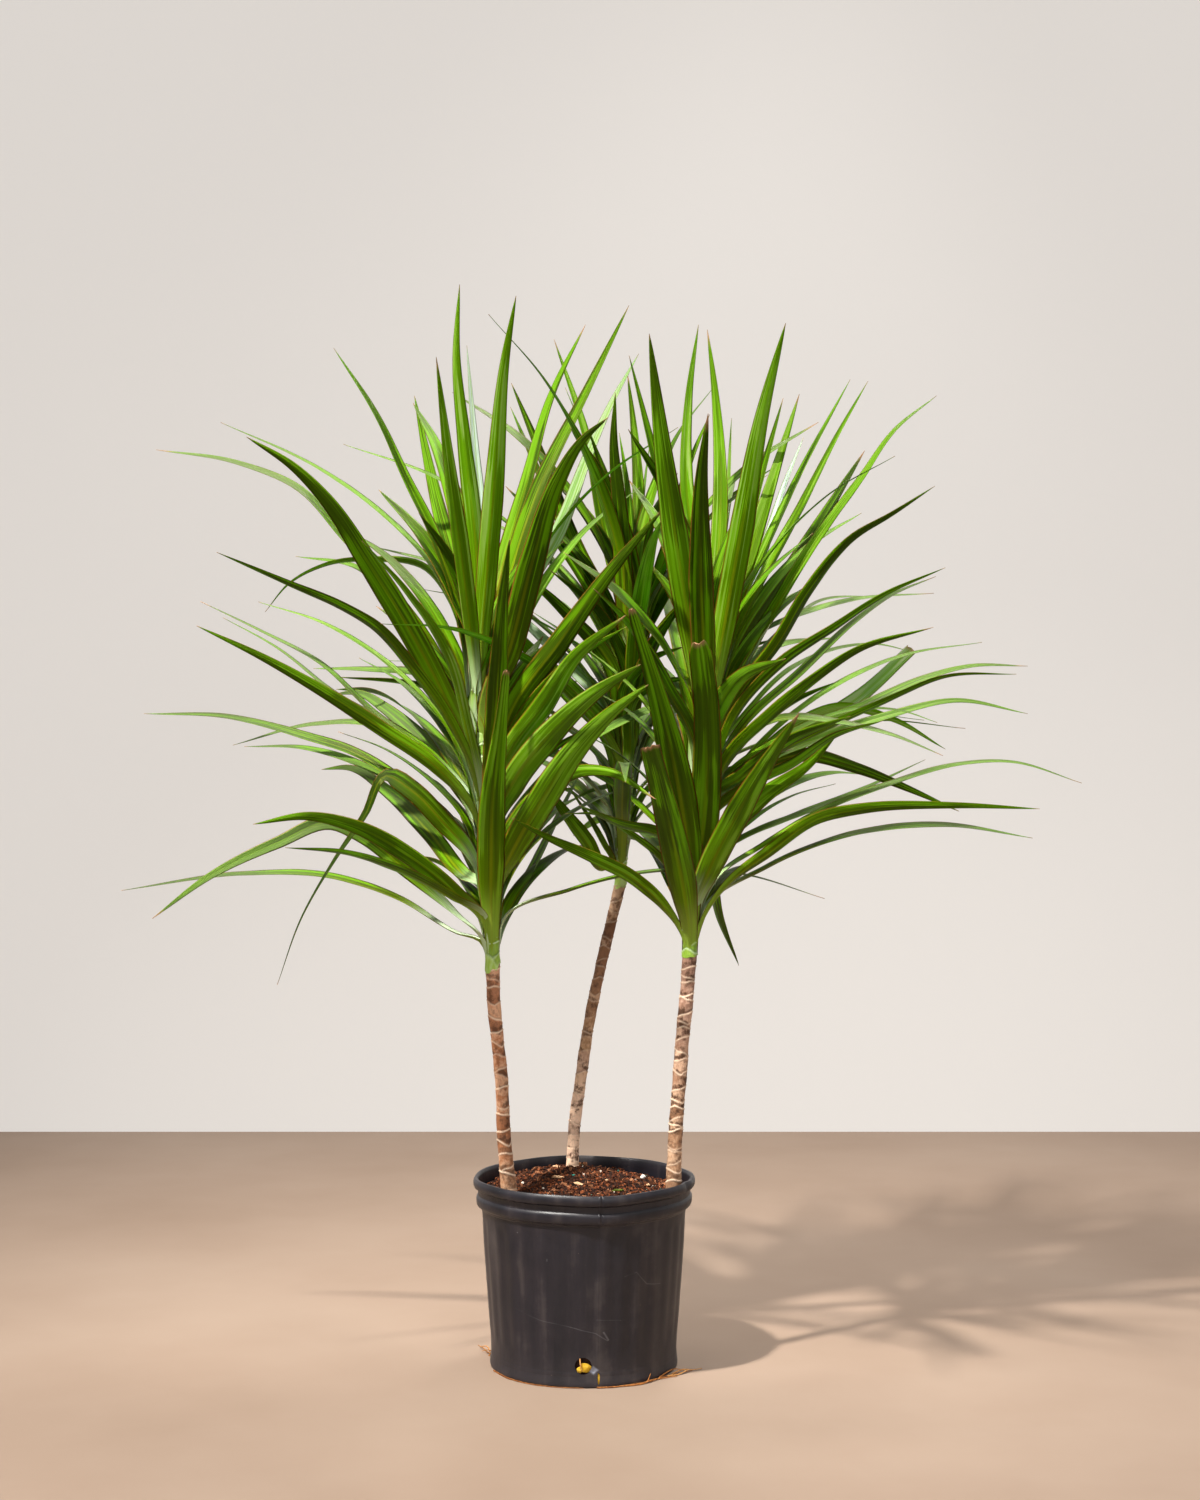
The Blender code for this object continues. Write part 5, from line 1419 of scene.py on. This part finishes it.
def make_rootlets():
    """Lay dry rootlets along the pot's foot, and hang one in the front drain hole."""
    share = np.linspace(0, 1, ROOTLET_POINTS)
    corners, edges, thick = [], [], []
    for rootlet in ROOTLETS:
        points = [(reach / 10000 * math.cos(math.radians(turn)), reach / 10000 * math.sin(math.radians(turn)),
                   height / 10000) for turn, reach, height in rootlet]
        edges += [(len(corners) + step, len(corners) + step + 1) for step in range(ROOTLET_POINTS - 1)]
        corners += list(smooth_route(points, ROOTLET_POINTS) + (0, 0, ROOTLET_THICKNESS / 2))
        thick += list(ROOTLET_THICKNESS * (1 - 0.6 * share))
    rootlets = new_object("rootlets", corners, edges=edges)
    carry(rootlets, thick=thick, luck=np.linspace(0, 1, len(corners)))
    grow(rootlets, strand_growth(), finish=mix_finish("rootlets", *ROOTLET_TONES))
    face_outwards(rootlets)
    dress(rootlets, "soil")


def make_soil():
    """Fill the pot with a lumpy mound, and strew it with crumbs, bark, perlite and feed beads."""
    rings = [(radius, SOIL_SIDE) for radius in np.linspace(SOIL_EDGE, SOIL_MIDDLE, SOIL_RINGS)]
    floor = POT_FLOOR + SOIL_GAP
    outline = [(0, floor), (0.1110, floor), *SOIL_WALL, *rings, (0, SOIL_SIDE)]
    soil = turned("mix_mound", outline, np.linspace(0, 2 * math.pi, SOIL_SIDES, endpoint=False))
    for corner in soil.data.vertices:
        if corner.co.z > SOIL_SIDE - 0.0005:
            x, y = corner.co.x, corner.co.y
            rough = noise.fractal(Vector((x, y, 0.3)) * 90, 0.6, 2.1, 4)
            corner.co.z = soil_height(x, y) + rough * SOIL_ROUGHNESS
    growth = crumb_growth()
    for name, area, size, flatness, reach, seed, finish in CRUMBS:
        crumbs = new_object(name, ())
        crumbs.data = soil.data.copy()
        grow(crumbs, growth, per_area=area, size=size, flatness=flatness, reach=reach, seed=seed,
             finish=mix_finish(name, *finish))
        dress(crumbs, "soil")
    dress(soil, "soil", "soil", finish=mix_finish("mix_brown", *MIX_TONES), sharp=180)


# Bark: distance between scars and how pale they are, tones up the cane, the dark of its patches, and how
# strong those are up the cane
BARKS = {
    "left": (0.0150, 1.0, ((0.33, (0.520, 0.255, 0.130)), (0.42, (0.430, 0.162, 0.066)),
                           (0.72, (0.430, 0.166, 0.072)), (0.85, (0.640, 0.275, 0.140))),
             (0.085, 0.034, 0.016), ((0.30, 0.6), (0.45, 0.9), (1.0, 0.7))),
    "back": (0.0150, 0.4, ((0.48, (0.900, 0.620, 0.450)), (0.56, (0.440, 0.265, 0.140)),
                           (0.74, (0.300, 0.146, 0.074)), (0.84, (0.150, 0.062, 0.028))),
             (0.085, 0.036, 0.018), ((0.40, 1.0), (0.60, 0.8), (1.0, 0.8))),
    "right": (0.0115, 1.0, ((0.35, (0.420, 0.236, 0.134)), (0.48, (0.370, 0.202, 0.112)),
                            (0.62, (0.400, 0.230, 0.148)), (0.85, (0.490, 0.302, 0.224))),
              (0.080, 0.036, 0.018), ((0.33, 0.6), (0.50, 1.0), (1.0, 0.9))),
}
MIX_TONES = ((0.010, 0.003, 0.001), (0.036, 0.011, 0.005), (0.090, 0.029, 0.013))

# What is strewn on the mix: name, number to a square metre, size, flatness, reach, seed and tones
CRUMBS = (
    ("mix_crumbs", 90000, 0.0042, 0.8, 0.1265, 1,
     ((0.007, 0.002, 0.001), (0.048, 0.012, 0.004), (0.280, 0.080, 0.026))),
    ("mix_bark", 6000, 0.0100, 0.35, 0.1200, 2,
     ((0.030, 0.010, 0.004), (0.120, 0.040, 0.016), (0.420, 0.190, 0.090))),
    ("mix_perlite", 500, 0.0050, 0.9, 0.1200, 3,
     ((0.420, 0.350, 0.290), (0.600, 0.520, 0.440), (0.780, 0.720, 0.640))),
    ("mix_beads", 700, 0.0032, 1.0, 0.1200, 4,
     ((0.020, 0.150, 0.120), (0.040, 0.240, 0.190), (0.100, 0.360, 0.280))),
)

# Single bits: piece and tones, then place, size and turn in degrees of each. Those with no height of their
# own lie on the mix
LUMP_SEED = 8
BIT_RISE = 0.0030
BITS = (
    ("mix_chips", ((0.300, 0.150, 0.070), (0.560, 0.340, 0.190), (0.760, 0.560, 0.380)), (
        ((-0.0325, 0.0167, None), (0.0160, 0.0050, 0.0036), -28),
        ((-0.0062, -0.0028, None), (0.0180, 0.0056, 0.0040), -48),
        ((-0.0330, 0.0850, None), (0.0200, 0.0050, 0.0036), -35),
        ((0.0285, 0.0162, None), (0.0042, 0.0034, 0.0030), 0),
        ((0.0799, 0.0298, None), (0.0050, 0.0040, 0.0034), 30))),
    ("mix_pebble", ((0.560, 0.540, 0.500), (0.720, 0.700, 0.670), (0.860, 0.850, 0.820)), (
        ((0.0745, 0.0718, None), (0.0066, 0.0058, 0.0056), 20),)),
    ("mix_moss", ((0.020, 0.030, 0.002), (0.060, 0.080, 0.006), (0.140, 0.150, 0.020)), (
        ((0.0421, -0.0200, None), (0.0150, 0.0060, 0.0030), 5),)),
    ("drain_matter", ((0.260, 0.120, 0.008), (0.560, 0.330, 0.020), (0.800, 0.600, 0.120)), (
        ((0.0022, -0.1125, 0.0235), (0.0150, 0.0040, 0.0110), 0),
        ((-0.0040, -0.1125, 0.0210), (0.0080, 0.0034, 0.0070), 0),
        ((0.0186, -0.1115, 0.0100), (0.0050, 0.0030, 0.0170), 9))),
)

# Rootlets: the points of each as a turn in degrees, and a distance from the axis and a height in tenths of a
# millimetre
ROOTLETS = (
    ((-160, 1168, 4), (-140, 1172, 6), (-122, 1168, 3), (-105, 1172, 6), (-90, 1168, 4)),
    ((-82, 1172, 8), (-70, 1180, 7), (-58, 1190, 12), (-45, 1196, 8), (-33, 1205, 10), (-24, 1270, 7),
     (-17, 1385, 6)),
    ((-66, 1185, 7), (-55, 1215, 6), (-46, 1200, 20), (-37, 1225, 7), (-30, 1310, 6)),
    ((-50, 1190, 5), (-48, 1180, 50), (-47, 1186, 100)),
    ((-40, 1180, 8), (-30, 1190, 50), (-22, 1215, 40), (-18, 1290, 6)),
    ((176, 1180, 60), (168, 1200, 50), (160, 1300, 10), (154, 1410, 7), (150, 1560, 6)),
    ((172, 1180, 100), (166, 1205, 60), (161, 1290, 40), (159, 1380, 6)),
    ((178, 1180, 140), (170, 1210, 120), (163, 1290, 100), (157, 1400, 50), (153, 1480, 6)),
    ((-28, 1215, 10), (-22, 1300, 40), (-16, 1400, 12), (-12, 1480, 6)),
    ((-33, 1210, 8), (-26, 1290, 6), (-20, 1350, 30), (-15, 1360, 6)),
    ((-91.9, 1142, 350), (-91.7, 1160, 290), (-91.3, 1152, 240), (-90.6, 1146, 200)),
)
ROOTLET_THICKNESS = 0.0010
ROOTLET_POINTS = 24
ROOTLET_TONES = ((0.160, 0.050, 0.012), (0.420, 0.170, 0.045), (0.720, 0.400, 0.150))


def stand(name, data, place, turn):
    """Stand a lamp or a camera in the scene."""
    holder = bpy.data.objects.new(name, data)
    holder.location = place
    holder.rotation_euler = turn
    bpy.context.scene.collection.objects.link(holder)
    return holder


def make_stage():
    """Lay a plain pale floor that meets a plain pale wall, with soft lights and the view."""
    side, far, top = STAGE_REACH, WALL_DEPTH, WALL_HEIGHT
    floor = new_object("floor", ((-side, -side, 0), (side, -side, 0), (side, side, 0), (-side, side, 0)),
                       [(0, 1, 2, 3)])
    wall = new_object("wall", ((-side, far, 0), (side, far, 0), (side, far, top), (-side, far, top)),
                      [(0, 1, 2, 3)])
    floor.data.materials.append(stage_finish("floor_pale", FLOOR_TONES, 1.6, 0.75))
    wall.data.materials.append(stage_finish("wall_pale", WALL_TONES, 0.7, 0.85, WALL_GLOW, one_sided=True))
    wall.visible_shadow = False
    scene = bpy.context.scene
    scene.world = bpy.data.worlds.new("studio")
    scene.world.use_nodes = True
    ambient = scene.world.node_tree.nodes["Background"]
    ambient.inputs["Color"].default_value = AMBIENT_TONE
    ambient.inputs["Strength"].default_value = AMBIENT_STRENGTH
    for name, place, aim, size, spread, power, colour in LIGHTS:
        lamp = bpy.data.lights.new(name, "AREA")
        lamp.shape = "DISK"
        lamp.size = size
        lamp.spread = math.radians(spread)
        lamp.energy = power
        lamp.color = colour
        stand(name, lamp, place, (Vector(aim) - Vector(place)).to_track_quat("-Z", "Y").to_euler())
    camera = bpy.data.cameras.new("view")
    camera.lens = LENS
    camera.sensor_width = SENSOR
    scene.camera = stand("view", camera, VIEWPOINT, (math.pi / 2, 0, 0))
    scene.view_settings.view_transform = "Standard"


FLOOR_TONES = ((0.30, (0.240, 0.165, 0.117)), (0.50, (0.270, 0.191, 0.140)), (0.75, (0.304, 0.223, 0.168)))
WALL_TONES = ((0.30, (0.270, 0.267, 0.264)), (0.75, (0.285, 0.282, 0.279)))
WALL_GLOW = (0.545, 0.514, 0.482)
AMBIENT_TONE = (1.0, 0.975, 0.95, 1.0)
AMBIENT_STRENGTH = 0.62

# Lamps: place, aim, size, spread in degrees, power and colour
LIGHTS = (
    ("high_key", (-1.5, -1.5, 3.6), (-0.1, -0.2, 0.5), 0.18, 54, 28, (1.0, 0.97, 0.91)),
    ("high_back", (0.6, 1.1, 3.2), (0.0, 0.5, 0.3), 0.50, 84, 16, (1.0, 0.97, 0.91)),
    ("front_fill", (1.0, -3.6, 1.8), (0.0, 1.7, 1.2), 2.4, 120, 14, (1.0, 0.98, 0.95)),
)


def main():
    """Dress the plant and set the stage."""
    make_foliage(all_blades(), leaf_finish())
    make_shoots()
    make_canes()
    make_pot()
    make_soil()
    make_bits()
    make_rootlets()
    make_stage()


main()
